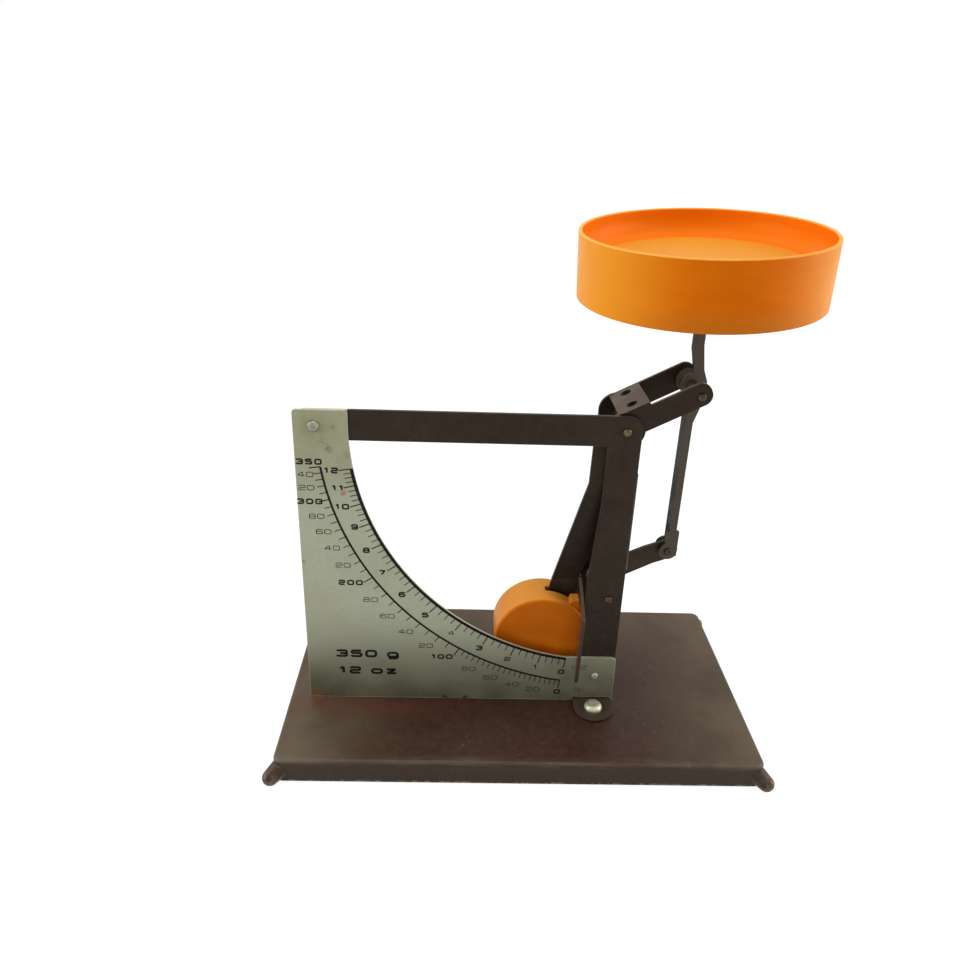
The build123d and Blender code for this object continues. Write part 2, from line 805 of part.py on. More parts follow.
# Guide stay
with BuildPart() as stay:
    with BuildSketch(upright(stay_rear_y)):
        with Locations((main_x, stay_z)):
            Circle(stay_root_radius)
        with Locations((pan_pin_x, guide_z)):
            Circle(stay_eye_radius)
        with BuildLine():
            Polyline(
                link_point(main_x, stay_z, 0, stay_root_offset),
                link_point(main_x, stay_z, stay_shoulder_run, stay_shoulder_offset),
                link_point(main_x, stay_z, link_length, stay_eye_radius),
                link_point(main_x, stay_z, link_length, -stay_eye_radius),
                link_point(main_x, stay_z, stay_shoulder_run, -stay_bottom_offset),
                link_point(main_x, stay_z, 0, -stay_bottom_offset),
                close=True,
            )
        make_face()
        with Locations((main_x, stay_z)):
            Circle(pin_radius + run_gap, mode=Mode.SUBTRACT)
        with Locations((pan_pin_x, guide_z)):
            Circle(pin_radius + guide_gap, mode=Mode.SUBTRACT)
    extrude(amount=stay_sheet)
stay.part.label = "stay"

# Washer and spacer beside the stay on the guide pin
guide_washer = ring(
    pan_pin_x,
    guide_z,
    carrier_front_y + carrier_sheet,
    stay_front_y - side_gap,
    eye_washer_radius,
    pin_radius,
)
guide_washer.part.label = "guide_washer"
guide_spacer = ring(
    pan_pin_x,
    guide_z,
    stay_rear_y + side_gap,
    carrier_rear_y - carrier_sheet,
    sleeve_radius,
    pin_radius,
)
guide_spacer.part.label = "guide_spacer"

# Counterweight case: a cup that is open at the back, with a slot and a lug for the pendulum
slot_left_x = main_x - tongue_left_reach - slot_side_margin
slot_right_x = slot_left_x + tongue_width + 2 * slot_side_margin
with BuildPart() as weight_case:
    with BuildSketch(upright(case_rear_y)):
        with Locations((weight_x, weight_z)):
            Circle(weight_radius)
    extrude(amount=case_rear_y - weight_front_y)
    fillet(weight_case.edges().group_by(Axis.Y)[0], weight_edge_round)
    with BuildSketch(upright(lug_rear_y)) as lug:
        with BuildLine():
            Polyline(
                (weight_x, weight_z),
                (weight_x + lug_left_reach, weight_z + lug_rise - 2 * lug_flat_inset),
                (weight_x + lug_left_reach + lug_flat_inset, weight_z + lug_rise),
                (weight_x + lug_right_reach, weight_z + lug_rise),
                (weight_x + lug_foot_reach, weight_z + lug_rise / 2),
                close=True,
            )
        make_face()
    extrude(amount=lug_rear_y - lug_front_y)
    with BuildSketch(upright(case_rear_y)):
        with Locations((weight_x, weight_z)):
            Circle(weight_radius - weight_wall)
    extrude(amount=case_rear_y - weight_front_y - weight_wall, mode=Mode.SUBTRACT)
    with BuildSketch(Plane.XY.offset(weight_z)):
        with Locations(((slot_left_x + slot_right_x) / 2, pendulum_y)):
            Rectangle(slot_right_x - slot_left_x, beam_sheet + 2 * slot_margin)
    extrude(amount=weight_radius + lug_rise, mode=Mode.SUBTRACT)
weight_case.part.label = "weight_case"

with BuildPart() as weight_cap:
    with BuildSketch(upright(weight_rear_y)):
        with Locations((weight_x, weight_z)):
            Circle(weight_radius)
    extrude(amount=weight_cap_sheet)
    fillet(weight_cap.edges().group_by(Axis.Y)[-1], weight_edge_round)
    with BuildSketch(upright(case_rear_y)):
        with Locations((weight_x, weight_z)):
            Circle(weight_radius - weight_wall - weight_plug_gap)
    extrude(amount=weight_plug)
weight_cap.part.label = "weight_cap"

rivet_front_y = weight_front_y + weight_wall + weight_rivet_head_height
rivet_rear_y = case_rear_y - weight_plug - weight_rivet_head_height
with BuildPart() as weight_discs:
    for front, rear in ((rivet_front_y, pendulum_front_y), (pendulum_rear_y, rivet_rear_y)):
        with BuildSketch(upright(rear)):
            with Locations((weight_x, weight_z)):
                Circle(disc_radius)
                Circle(weight_rivet_radius, mode=Mode.SUBTRACT)
        extrude(amount=rear - front)
weight_discs.part.label = "weight_discs"

weight_rivet = cross_pin(
    weight_x,
    weight_z,
    rivet_front_y,
    rivet_rear_y,
    weight_rivet_radius,
    weight_rivet_head_radius,
    weight_rivet_head_height,
    pin_head_round,
)
weight_rivet.part.label = "weight_rivet"

# Pan, drawn square to its own leaning axis
cove = pan_radius - pan_wall - pan_floor_radius
pan_axis = Vector(-tan(pan_side_lean), -tan(pan_lean), 1).normalized()
pan_right = Vector(cos(pan_side_lean), 0, sin(pan_side_lean))
dish_plane = Plane(origin=(pan_x, pan_y, dish_z), x_dir=pan_right, z_dir=pan_axis)
half_plane = Plane(origin=(pan_x, pan_y, dish_z), x_dir=pan_right, z_dir=pan_right.cross(pan_axis))
with BuildPart() as pan:
    with BuildSketch(half_plane) as pan_half:
        with BuildLine():
            Polyline(
                (0, 0),
                (pan_floor_radius + cove, 0),
                (pan_radius - pan_wall, pan_dish_depth),
                (pan_radius, pan_dish_depth),
                (pan_foot_radius, pan_dish_depth - pan_height),
                (pan_foot_radius - pan_wall, pan_dish_depth - pan_height),
                (pan_foot_radius - pan_wall, -pan_floor),
                (0, -pan_floor),
                close=True,
            )
        make_face()
        fillet(pan_half.vertices().sort_by_distance((pan_floor_radius + cove, 0, 0))[0], cove)
        rim_corners = pan_half.vertices().sort_by_distance((pan_radius - pan_wall / 2, pan_dish_depth, 0))
        fillet(rim_corners[0:2], pan_rim_round)
    revolve(axis=Axis((pan_x, pan_y, dish_z), pan_axis))
    with Locations(dish_plane.offset(-pan_floor)):
        Cylinder(pan_boss_radius, pan_boss_length, align=(Align.CENTER, Align.CENTER, Align.MAX))
    with BuildSketch(Plane.XY.offset(stem_top_z)):
        with Locations((carrier_x, carrier_front_y + carrier_sheet / 2)):
            Rectangle(carrier_width + 2 * pan_socket_gap, carrier_sheet + 2 * pan_socket_gap)
        with Locations((carrier_left_x + carrier_sheet / 2, (carrier_front_y + carrier_rear_y) / 2)):
            Rectangle(
                carrier_sheet + 2 * pan_socket_gap,
                carrier_rear_y - carrier_front_y + 2 * pan_socket_gap,
            )
    extrude(amount=-pan_boss_length, mode=Mode.SUBTRACT)
    with Locations(dish_plane):
        Cylinder(
            pan_mark_radius,
            pan_mark_depth,
            align=(Align.CENTER, Align.CENTER, Align.MAX),
            mode=Mode.SUBTRACT,
        )
pan.part.label = "pan"

os.makedirs("parts", exist_ok=True)
export_step(base_tray.part, "parts/base_tray.step")
export_step(frame.part, "parts/frame.step")
export_step(scale_plate.part, "parts/scale_plate.step")
export_step(strap_rivet.part, "parts/strap_rivet.step")
export_step(side_rivet.part, "parts/side_rivet.step")
export_step(foot_rivets.part, "parts/foot_rivets.step")
export_step(beam.part, "parts/beam.step")
export_step(main_pin.part, "parts/main_pin.step")
export_step(stay_pin.part, "parts/stay_pin.step")
export_step(pan_pin.part, "parts/pan_pin.step")
export_step(guide_pin.part, "parts/guide_pin.step")
export_step(main_washers.part, "parts/main_washers.step")
export_step(stay_sleeve_front.part, "parts/stay_sleeve_front.step")
export_step(stay_sleeve_rear.part, "parts/stay_sleeve_rear.step")
export_step(pan_sleeve.part, "parts/pan_sleeve.step")
export_step(pan_washer.part, "parts/pan_washer.step")
export_step(carrier.part, "parts/carrier.step")
export_step(stay.part, "parts/stay.step")
export_step(guide_washer.part, "parts/guide_washer.step")
export_step(guide_spacer.part, "parts/guide_spacer.step")
export_step(weight_case.part, "parts/weight_case.step")
export_step(weight_cap.part, "parts/weight_cap.step")
export_step(weight_discs.part, "parts/weight_discs.step")
export_step(weight_rivet.part, "parts/weight_rivet.step")
export_step(pan.part, "parts/pan.step")
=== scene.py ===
"""The looks of a small pendulum letter scale: paint, plate, print, plastic and metal, light and camera."""

import json
import math

import bpy
from mathutils import Matrix, Vector


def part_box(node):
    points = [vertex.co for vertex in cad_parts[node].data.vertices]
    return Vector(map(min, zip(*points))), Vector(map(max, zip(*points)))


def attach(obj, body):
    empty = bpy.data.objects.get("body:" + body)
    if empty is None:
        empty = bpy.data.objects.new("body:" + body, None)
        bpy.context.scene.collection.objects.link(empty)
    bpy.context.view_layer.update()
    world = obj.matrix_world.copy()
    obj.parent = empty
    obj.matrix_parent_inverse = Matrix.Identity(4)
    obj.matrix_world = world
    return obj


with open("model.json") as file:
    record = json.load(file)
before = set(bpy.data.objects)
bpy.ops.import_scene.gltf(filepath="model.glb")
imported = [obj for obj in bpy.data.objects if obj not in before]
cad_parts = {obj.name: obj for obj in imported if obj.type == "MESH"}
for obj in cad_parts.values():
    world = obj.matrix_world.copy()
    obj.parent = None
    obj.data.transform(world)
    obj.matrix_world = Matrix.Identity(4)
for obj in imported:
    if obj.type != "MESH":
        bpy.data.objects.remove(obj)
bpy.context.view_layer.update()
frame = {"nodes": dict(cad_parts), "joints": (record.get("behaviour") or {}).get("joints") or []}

MM = 0.001
main_pivot = next(Vector(joint["pos_m"]) for joint in frame["joints"] if joint["name"] == "beam_hinge")
plate_low, plate_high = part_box("scale_plate")
base_low, base_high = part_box("base_tray")
frame_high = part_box("frame")[1]
strap_rivet_low, strap_rivet_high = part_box("strap_rivet")
strap_rivet_middle = (strap_rivet_low + strap_rivet_high) / 2

strap_width = 18.8 * MM
# How far right of the strap's rivet the two notches beside the plate's hidden tab are
tab_notches = (46.2 * MM, 54.4 * MM)

# The dish, measured from the middle of its floor along its leaning axis
dish_centre = Vector((53.4, 4.0, 182.4)) * MM
lean_left = math.radians(2.6)
lean_forward = math.radians(3.5)
dish_axis = Vector((-math.tan(lean_left), -math.tan(lean_forward), 1.0)).normalized()
dish_depth = 9.5 * MM
dish_floor_radius = 34.6 * MM
dish_mouth_radius = 40.95 * MM
pan_skirt_drop = 12.8 * MM


# Materials

def tone(red, green, blue):
    """A colour as a painter reads it off a chart, 0 to 255, turned into linear light."""
    linear = [((c / 255 + 0.055) / 1.055) ** 2.4 if c > 10 else c / 255 / 12.92 for c in (red, green, blue)]
    return (*linear, 1.0)


def add_node(tree, kind, **settings):
    """Adds a node to a tree of any kind, with its settings."""
    made = tree.nodes.new(kind)
    for key, value in settings.items():
        setattr(made, key, value)
    return made


class Finish:
    """A node material while it is mixed: a ground colour, coats over it, relief and shine.

    The other methods add a node or two and return the socket that holds their value.
    """

    def __init__(self, name, ground, shine=0.5):
        self.material = bpy.data.materials.new(name)
        self.material.use_nodes = True
        self.tree = self.material.node_tree
        self.shader = self.tree.nodes["Principled BSDF"]
        coordinates = self.node("ShaderNodeTexCoord")
        self.place = coordinates.outputs["Object"]
        self.normal = coordinates.outputs["Normal"]
        self.colour = ground
        self.shine = shine
        self.relief = None

    def coat(self, colour, *masks):
        """Lays a colour over what is there, as dense as all its masks multiplied."""
        share = masks[0]
        for mask in masks[1:]:
            share = self.times(share, mask)
        mix = self.node("ShaderNodeMix", data_type="RGBA")
        self.feed(mix.inputs["Factor"], share)
        self.feed(mix.inputs["A"], self.colour)
        self.feed(mix.inputs["B"], colour)
        self.colour = mix.outputs["Result"]

    def emboss(self, height, depth, strength):
        """Adds relief: height is 0 to 1, depth is its real depth."""
        bump = self.node("ShaderNodeBump")
        self.feed(bump.inputs["Height"], height)
        self.feed(bump.inputs["Distance"], depth)
        self.feed(bump.inputs["Strength"], strength)
        if self.relief is not None:
            self.feed(bump.inputs["Normal"], self.relief)
        self.relief = bump.outputs["Normal"]

    def done(self, **inputs):
        """Feeds the shader's inputs, whose names have _ for a blank, and gives the material."""
        self.feed(self.shader.inputs["Base Color"], self.colour)
        self.feed(self.shader.inputs["Specular IOR Level"], self.shine)
        for name, value in inputs.items():
            self.feed(self.shader.inputs[name.replace("_", " ")], value)
        if self.relief is not None:
            self.feed(self.shader.inputs["Normal"], self.relief)
        return self.material

    def node(self, kind, **settings):
        return add_node(self.tree, kind, **settings)

    def feed(self, socket, value):
        """Links a socket to another socket, or sets it to a fixed value."""
        if isinstance(value, bpy.types.NodeSocket):
            self.tree.links.new(value, socket)
        else:
            socket.default_value = value

    def axis(self, letter):
        """The place on the piece along X, Y or Z."""
        split = self.node("ShaderNodeSeparateXYZ")
        self.feed(split.inputs["Vector"], self.place)
        return split.outputs[letter]

    def facing(self, letter):
        """How far the surface looks along one axis of its piece, from -1 to 1."""
        split = self.node("ShaderNodeSeparateXYZ")
        self.feed(split.inputs["Vector"], self.normal)
        return split.outputs[letter]

    def stretched(self, x=1, y=1, z=1, turn=(0, 0, 0)):
        """The place, scaled along each axis and turned, for a pattern that runs one way."""
        mapping = self.node("ShaderNodeMapping")
        self.feed(mapping.inputs["Vector"], self.place)
        self.feed(mapping.inputs["Rotation"], turn)
        self.feed(mapping.inputs["Scale"], (x, y, z))
        return mapping.outputs["Vector"]

    def cloud(self, grain, detail=3.0, rough=0.55, seed=0.0, along=None):
        """Soft noise whose patches are about one grain wide."""
        noise = self.node("ShaderNodeTexNoise", noise_dimensions="4D")
        self.feed(noise.inputs["Vector"], along or self.place)
        self.feed(noise.inputs["W"], seed)
        self.feed(noise.inputs["Scale"], 1 / grain)
        self.feed(noise.inputs["Detail"], detail)
        self.feed(noise.inputs["Roughness"], rough)
        return noise.outputs["Fac"]

    def streaks(self, x, z, y=None, detail=3.0, seed=0.0, turn=(0, 0, 0)):
        """Noise with its own grain along each axis; without a grain for Y it hardly changes that way."""
        along = self.stretched(1 / x, 1 / y if y else 1, 1 / z, turn)
        return self.cloud(1, detail=detail, seed=seed, along=along)

    def cells(self, grain):
        """Distance to scattered points about one grain apart."""
        voronoi = self.node("ShaderNodeTexVoronoi")
        self.feed(voronoi.inputs["Vector"], self.place)
        self.feed(voronoi.inputs["Scale"], 1 / grain)
        return voronoi.outputs["Distance"]

    def calc(self, operation, first, second=0.0):
        maths = self.node("ShaderNodeMath", operation=operation)
        self.feed(maths.inputs[0], first)
        self.feed(maths.inputs[1], second)
        return maths.outputs["Value"]

    def times(self, first, second):
        return self.calc("MULTIPLY", first, second)

    def off(self, value, middle):
        """How far a value is from the middle, whichever side it is on."""
        return self.calc("ABSOLUTE", self.calc("SUBTRACT", value, middle))

    def step(self, value, start, end, low=0.0, high=1.0):
        """Runs smoothly from low to high as value goes from start to end."""
        ramp = self.node("ShaderNodeMapRange", interpolation_type="SMOOTHSTEP")
        self.feed(ramp.inputs["Value"], value)
        self.feed(ramp.inputs["From Min"], start)
        self.feed(ramp.inputs["From Max"], end)
        self.feed(ramp.inputs["To Min"], low)
        self.feed(ramp.inputs["To Max"], high)
        return ramp.outputs["Result"]

    def near(self, point, reach, soft):
        """0 at reach from a point, rising to 1 at the soft share of reach."""
        distance = self.node("ShaderNodeVectorMath", operation="DISTANCE")
        self.feed(distance.inputs[0], self.place)
        self.feed(distance.inputs[1], tuple(point))
        return self.step(distance.outputs["Value"], reach * soft, reach, 1.0, 0.0)

    def along_line(self, point, direction):
        """How far past a point along a line, and how far out from it."""
        arm = self.node("ShaderNodeVectorMath", operation="SUBTRACT")
        self.feed(arm.inputs[0], self.place)
        self.feed(arm.inputs[1], tuple(point))
        past = self.node("ShaderNodeVectorMath", operation="DOT_PRODUCT")
        self.feed(past.inputs[0], arm.outputs["Vector"])
        self.feed(past.inputs[1], tuple(direction))
        side = self.node("ShaderNodeVectorMath", operation="CROSS_PRODUCT")
        self.feed(side.inputs[0], arm.outputs["Vector"])
        self.feed(side.inputs[1], tuple(direction))
        out = self.node("ShaderNodeVectorMath", operation="LENGTH")
        self.feed(out.inputs[0], side.outputs["Vector"])
        return past.outputs["Value"], out.outputs["Value"]

    def edges(self, width, start, end):
        """1 along edges of the sheet or moulding, 0 on open faces."""
        bevel = self.node("ShaderNodeBevel", samples=6)
        self.feed(bevel.inputs["Radius"], width)
        dot = self.node("ShaderNodeVectorMath", operation="DOT_PRODUCT")
        self.feed(dot.inputs[0], bevel.outputs["Normal"])
        self.feed(dot.inputs[1], self.node("ShaderNodeNewGeometry").outputs["Normal"])
        return self.step(self.calc("SUBTRACT", 1.0, dot.outputs["Value"]), start, end)


# Light reflected off the paint is a little warm
warm_tint = tone(255, 236, 212)


def brown_paint(name, body, deep, haze, haze_amount, upward_paleness, touches=None):
    """Dark brown satin stoving paint: cloudy colour, a haze of dust, fine orange peel, and rubbed edges that
    also carry a painted edge highlight.
    """
    paint = Finish(name, deep, shine=0.2)
    paint.coat(body, paint.step(paint.cloud(3.2 * MM, detail=5, rough=0.65, seed=2.0), 0.3, 0.75))
    veil = paint.times(paint.step(paint.cloud(26 * MM, detail=4, seed=1.0), 0.42, 0.68), haze_amount)
    paint.coat(haze, veil)
    specks = paint.step(paint.cells(5.5 * MM), 0.11, 0.05)
    paint.coat(tone(112, 96, 82), specks, paint.step(paint.cloud(9 * MM, seed=4.0), 0.5, 0.62), 0.35)
    rubbed = paint.step(paint.cloud(4 * MM, detail=5, seed=5.0), 0.4, 0.62)
    # Rubbed edges with a painted highlight: the sheet's edges are paler
    paint.coat(tone(112, 88, 70), paint.edges(0.45 * MM, 0.02, 0.25), rubbed, 0.55)
    # Faces that look up are paler
    paint.coat(tone(112, 100, 84), paint.step(paint.facing("Z"), 0.3, 0.9, 0.0, upward_paleness))
    if touches:
        touches(paint)
    gloss = paint.step(paint.cloud(11 * MM, detail=5, seed=6.0), 0.25, 0.75, 0.34, 0.5)
    gloss = paint.calc("ADD", gloss, paint.times(veil, 0.18))
    paint.emboss(paint.cloud(0.9 * MM, detail=2, seed=7.0), 0.03 * MM, 0.5)
    paint.emboss(paint.cloud(0.7 * MM, detail=2, seed=3.0), 0.012 * MM, 0.4)
    return paint.done(Roughness=gloss, Specular_Tint=warm_tint)


def pointer_touch(paint):
    """The pointer's blade, in front of the plate, is a redder brown than the rest of the beam: its own colour
    plus painted orange reflected light.
    """
    blade_top = main_pivot.z - 66 * MM
    below = paint.step(paint.axis("Z"), blade_top, blade_top - 4 * MM)
    in_front = paint.step(paint.axis("Y"), plate_low.y + 2 * MM, plate_low.y)
    paint.coat(tone(72, 53, 45), below, in_front)


def frame_touch(paint):
    """The bar's top fold is pale behind the plate's strap."""
    strap_right = plate_low.x + strap_width
    behind_strap = paint.step(paint.axis("X"), strap_right + 0.2 * MM, strap_right - 0.2 * MM)
    top_fold = paint.step(paint.axis("Z"), frame_high.z - 0.5 * MM, frame_high.z - 0.3 * MM)
    paint.coat(tone(196, 194, 176), behind_strap, top_fold, 0.85)


def carrier_touch(paint):
    """Painted light and shade: the carrier is paler on faces that look forward, and dark and dull on faces
    that look left.
    """
    # Painted light: faces that look forward are paler
    paint.coat(tone(88, 82, 71), paint.step(paint.facing("Y"), -0.3, -0.9, 0.0, 0.75))
    # Painted shade: faces that look left are dark
    paint.coat(tone(28, 24, 20), paint.step(paint.facing("X"), -0.4, -0.9, 0.0, 0.8))
    paint.shine = paint.step(paint.facing("X"), -0.4, -0.9, paint.shine, 0.03)


def base_paint():
    """The base's paint: dust and a painted sheen towards the ends and the back, painted shade and highlights
    at the front fold, worn along the front and at the feet.
    """
    paint = Finish("base_brown_paint", tone(44, 28, 22), shine=0.22)
    x, y, z = (paint.axis(letter) for letter in "XYZ")
    patches = paint.cloud(24 * MM, detail=4, seed=1.0)
    paint.coat(tone(57, 39, 31), paint.step(paint.cloud(2.6 * MM, detail=6, rough=0.7, seed=2.0), 0.3, 0.72))

    # Dust with painted sheen: the top is paler towards the ends and the back, standing in for reflected light
    width = base_high.x - base_low.x
    clearest = (base_low.x + base_high.x) / 2 + 3 * MM
    ends = paint.step(paint.off(x, clearest), 0.2 * width, 0.5 * width)
    back = paint.step(y, -10 * MM, base_high.y)
    haze = paint.calc("MAXIMUM", paint.times(ends, 0.8), paint.times(back, 0.5))
    haze = paint.times(haze, paint.step(patches, 0.3, 0.66, 0.45, 1.0))
    haze = paint.times(haze, paint.step(z, base_high.z - 2.5 * MM, base_high.z - 0.6 * MM, 0.2, 1.0))
    paint.coat(tone(92, 82, 66), haze)

    grit = paint.step(paint.cells(3.4 * MM), 0.12, 0.05)
    paint.coat(tone(128, 106, 86), grit, paint.step(paint.cloud(14 * MM, seed=4.0), 0.48, 0.6), 0.45)
    front = paint.step(y, base_low.y + 8 * MM, base_low.y + 4 * MM)
    # Painted shade: the front skirt is darker
    paint.coat(tone(46, 38, 32), front, paint.step(z, base_high.z - 1 * MM, base_high.z - 2 * MM), 0.35)
    chipped = paint.step(paint.cloud(3 * MM, detail=6, seed=5.0), 0.5, 0.6)
    chips = paint.times(paint.edges(1.2 * MM, 0.01, 0.2), chipped)
    paint.coat(tone(140, 124, 100), chips, 0.6)
    rubbed = paint.step(paint.cloud(2.4 * MM, detail=5, seed=9.0), 0.42, 0.6)
    for foot_x in (base_low.x, base_high.x):
        for foot_y in (base_low.y, base_high.y):
            paint.coat(tone(150, 138, 116), paint.near((foot_x, foot_y, 0.0), 9 * MM, 0.3), rubbed, 0.45)

    # Painted highlight: pale streaks along the front fold
    fold = paint.step(z, base_high.z - 5 * MM, base_high.z - 0.5 * MM)
    streaks = paint.streaks(x=14 * MM, y=3 * MM, z=0.6 * MM, detail=5, seed=8.0)
    paint.coat(tone(108, 98, 90), fold, front, paint.step(streaks, 0.5, 0.64), 0.22)
    # Painted highlight: a pale line along the top of the front fold
    crease = paint.step(paint.off(z, base_high.z - 0.5 * MM), 0.7 * MM, 0.2 * MM)
    paint.coat(tone(98, 90, 82), crease, front, paint.step(patches, 0.3, 0.6, 0.1, 0.35))
    hem = paint.step(z, 1.7 * MM, 0.9 * MM)
    flaked = paint.step(paint.cloud(2.6 * MM, detail=6, rough=0.7, seed=10.0), 0.47, 0.6)
    paint.coat(tone(156, 148, 132), front, hem, flaked, 0.6)

    before_plate = paint.step(paint.off(y, plate_low.y - 5 * MM), 11 * MM, 1 * MM)
    towards_left = paint.step(x, strap_rivet_high.x + 70 * MM, strap_rivet_high.x + 20 * MM)
    ruddy = paint.step(paint.cloud(7 * MM, detail=4, seed=11.0), 0.3, 0.7, 0.2, 0.7)
    paint.coat(tone(80, 46, 34), before_plate, towards_left, ruddy)

    gloss = paint.step(paint.cloud(9 * MM, detail=5, seed=6.0), 0.25, 0.75, 0.3, 0.46)
    gloss = paint.calc("ADD", gloss, paint.times(haze, 0.12))
    paint.emboss(paint.cloud(1.0 * MM, detail=2, seed=7.0), 0.03 * MM, 0.5)
    paint.emboss(paint.step(chips, 0.2, 0.8, 1.0, 0.0), 0.05 * MM, 0.5)
    return paint.done(Roughness=gloss, Specular_Tint=warm_tint)


# Stains on the plate: right and up from the strap's rivet and reach, in mm, then density and tone
plate_stains = [
    (4.8, -8.5, 1.9, 0.9, tone(104, 84, 50)),
    (3.2, -6.0, 2.8, 0.5, tone(116, 102, 64)),
    (6.5, 0.1, 1.4, 0.7, tone(116, 98, 56)),
    (9.3, -25.3, 1.8, 0.9, tone(152, 100, 56)),
    (11.2, -10.6, 1.3, 0.7, tone(96, 92, 82)),
    (-6.9, -53.5, 1.5, 0.8, tone(60, 56, 44)),
    (-4.6, -114.3, 4.2, 0.8, tone(142, 92, 42)),
]


def plate_lacquer():
    """Grey-green lacquered tin: a painted reflection of the brown base darkening its lower part, rolled
    grain, light cut edges with a painted edge highlight, a yellowed strap and a few stains.
    """
    plate = Finish("plate_grey_green", tone(86, 83, 66), shine=0.3)
    z = plate.axis("Z")
    height = plate_high.z - plate_low.z
    # Painted reflection of the brown base: the plate is darker towards the bottom
    plate.coat(tone(168, 172, 149), plate.step(z, plate_low.z - 0.02 * height, plate_low.z + 0.4 * height))
    # Darker towards the lower left corner
    plate.coat(tone(70, 66, 50), plate.near(plate_low, 22 * MM, 0.0), 0.5)
    drift = plate.cloud(18 * MM, detail=4, seed=1.0)
    plate.coat(tone(150, 148, 124), plate.step(drift, 0.35, 0.7, 0.0, 0.35))
    fine = plate.cloud(1.6 * MM, detail=4, seed=2.0)
    plate.coat(tone(118, 118, 100), plate.step(fine, 0.35, 0.75, 0.0, 0.16))

    grimy = plate.step(plate.cloud(3 * MM, detail=4, seed=3.0), 0.3, 0.6)
    plate.coat(tone(126, 116, 78), plate.near(strap_rivet_middle, 8 * MM, 0.35), grimy, 0.65)
    strap = plate.step(z, plate_high.z - 40 * MM, plate_high.z - 12 * MM)
    yellowed = plate.step(plate.cloud(8 * MM, detail=4, seed=9.0), 0.36, 0.7, 0.55, 1.0)
    plate.coat(tone(142, 142, 108), strap, yellowed)
    ragged = plate.step(plate.cloud(1.3 * MM, detail=4, seed=4.0), 0.32, 0.6)
    for right, up, reach, density, stain in plate_stains:
        centre = (strap_rivet_middle.x + right * MM, plate_low.y, strap_rivet_middle.z + up * MM)
        plate.coat(stain, plate.near(centre, reach * MM, 0.1), ragged, density)
    for right in tab_notches:
        centre = (strap_rivet_middle.x + right, plate_low.y, base_high.z + 0.3 * MM)
        plate.coat(tone(44, 30, 22), plate.near(centre, 1.5 * MM, 0.35), 0.85)

    # Bare cut edges with a painted highlight: the plate's edges are pale
    plate.coat(tone(206, 206, 184), plate.edges(0.5 * MM, 0.02, 0.2), 0.75)
    scratches = plate.streaks(x=0.5 * MM, z=26 * MM, detail=6, seed=5.0, turn=(0, 0.5, 0))
    plate.coat(tone(196, 196, 176), plate.step(scratches, 0.66, 0.72, 0.0, 0.3))
    plate.emboss(plate.streaks(x=9 * MM, z=0.25 * MM, detail=4, seed=6.0), 0.01 * MM, 0.35)
    plate.emboss(plate.cloud(5 * MM, detail=2, seed=7.0), 0.05 * MM, 0.4)
    gloss = plate.step(plate.cloud(6 * MM, detail=5, seed=8.0), 0.3, 0.7, 0.34, 0.48)
    return plate.done(Roughness=gloss, Metallic=0.2)


def printing_ink():
    """Black screen print, rubbed thin in places so the plate shows through."""
    ink = Finish("plate_printing_ink", tone(18, 17, 12), shine=0.12)
    rubbed = ink.step(ink.cloud(0.5 * MM, detail=4, seed=1.0), 0.5, 0.75)
    ink.coat(tone(76, 76, 62), rubbed, ink.step(ink.cloud(12 * MM, detail=3, seed=2.0), 0.4, 0.7, 0.1, 0.5))
    ink.emboss(ink.cloud(0.2 * MM, seed=3.0), 0.01 * MM, 0.3)
    return ink.done(Roughness=ink.step(rubbed, 0.0, 1.0, 0.42, 0.6))


def faded_ink():
    """The light figures, printed in thinner ink that has gone grey."""
    ink = Finish("plate_faded_ink", tone(34, 33, 26), shine=0.12)
    worn = ink.step(ink.cloud(0.8 * MM, detail=4, seed=1.0), 0.35, 0.75, 0.0, 0.8)
    ink.coat(tone(88, 88, 72), worn)
    ink.emboss(ink.cloud(0.2 * MM, seed=3.0), 0.01 * MM, 0.3)
    return ink.done(Roughness=ink.step(worn, 0.0, 1.0, 0.42, 0.55))


def flank_share(moulding):
    """1 where the surface looks to the left or the right, 0 in front and on top."""
    return moulding.step(moulding.calc("ABSOLUTE", moulding.facing("X")), 0.25, 0.95)


def orange_plastic(name, body, deep, side_light_colour, touches):
    """Moulded orange plastic: faint flow marks, painted light on the sides that look left and right, fine
    scratches and a little dust.
    """
    moulding = Finish(name, body, shine=0.14)
    flow = moulding.streaks(x=22 * MM, y=22 * MM, z=9 * MM, seed=1.0)
    moulding.coat(deep, moulding.step(flow, 0.3, 0.72))
    # Painted light: the sides that look left and right are paler and yellower
    moulding.coat(side_light_colour, flank_share(moulding))
    touches(moulding)
    moulding.coat(tone(232, 156, 54), moulding.step(moulding.cloud(0.6 * MM, seed=2.0), 0.62, 0.8, 0.0, 0.25))
    dirt = moulding.step(moulding.cells(2.6 * MM), 0.07, 0.03, 0.0, 0.5)
    moulding.coat(tone(120, 62, 22), dirt, moulding.step(moulding.cloud(7 * MM, seed=3.0), 0.55, 0.62))
    scratches = moulding.streaks(x=12 * MM, y=12 * MM, z=0.3 * MM, detail=5, seed=4.0, turn=(0.3, 0.2, 0.1))
    rubs = moulding.step(scratches, 0.62, 0.72)
    moulding.coat(tone(238, 170, 72), rubs, 0.14)
    moulding.emboss(moulding.cloud(7 * MM, detail=2, seed=5.0), 0.06 * MM, 0.5)
    moulding.emboss(moulding.cloud(0.35 * MM, detail=2, seed=6.0), 0.008 * MM, 0.5)
    gloss = moulding.step(moulding.cloud(10 * MM, detail=4, seed=7.0), 0.3, 0.7, 0.36, 0.48)
    moulding.shader.subsurface_method = "BURLEY"
    return moulding.done(
        Roughness=moulding.calc("ADD", gloss, moulding.times(rubs, 0.1)),
        Subsurface_Weight=0.06,
        Subsurface_Radius=(1.0, 0.35, 0.08),
        Subsurface_Scale=1.5 * MM,
        Specular_Tint=tone(255, 220, 120),
    )


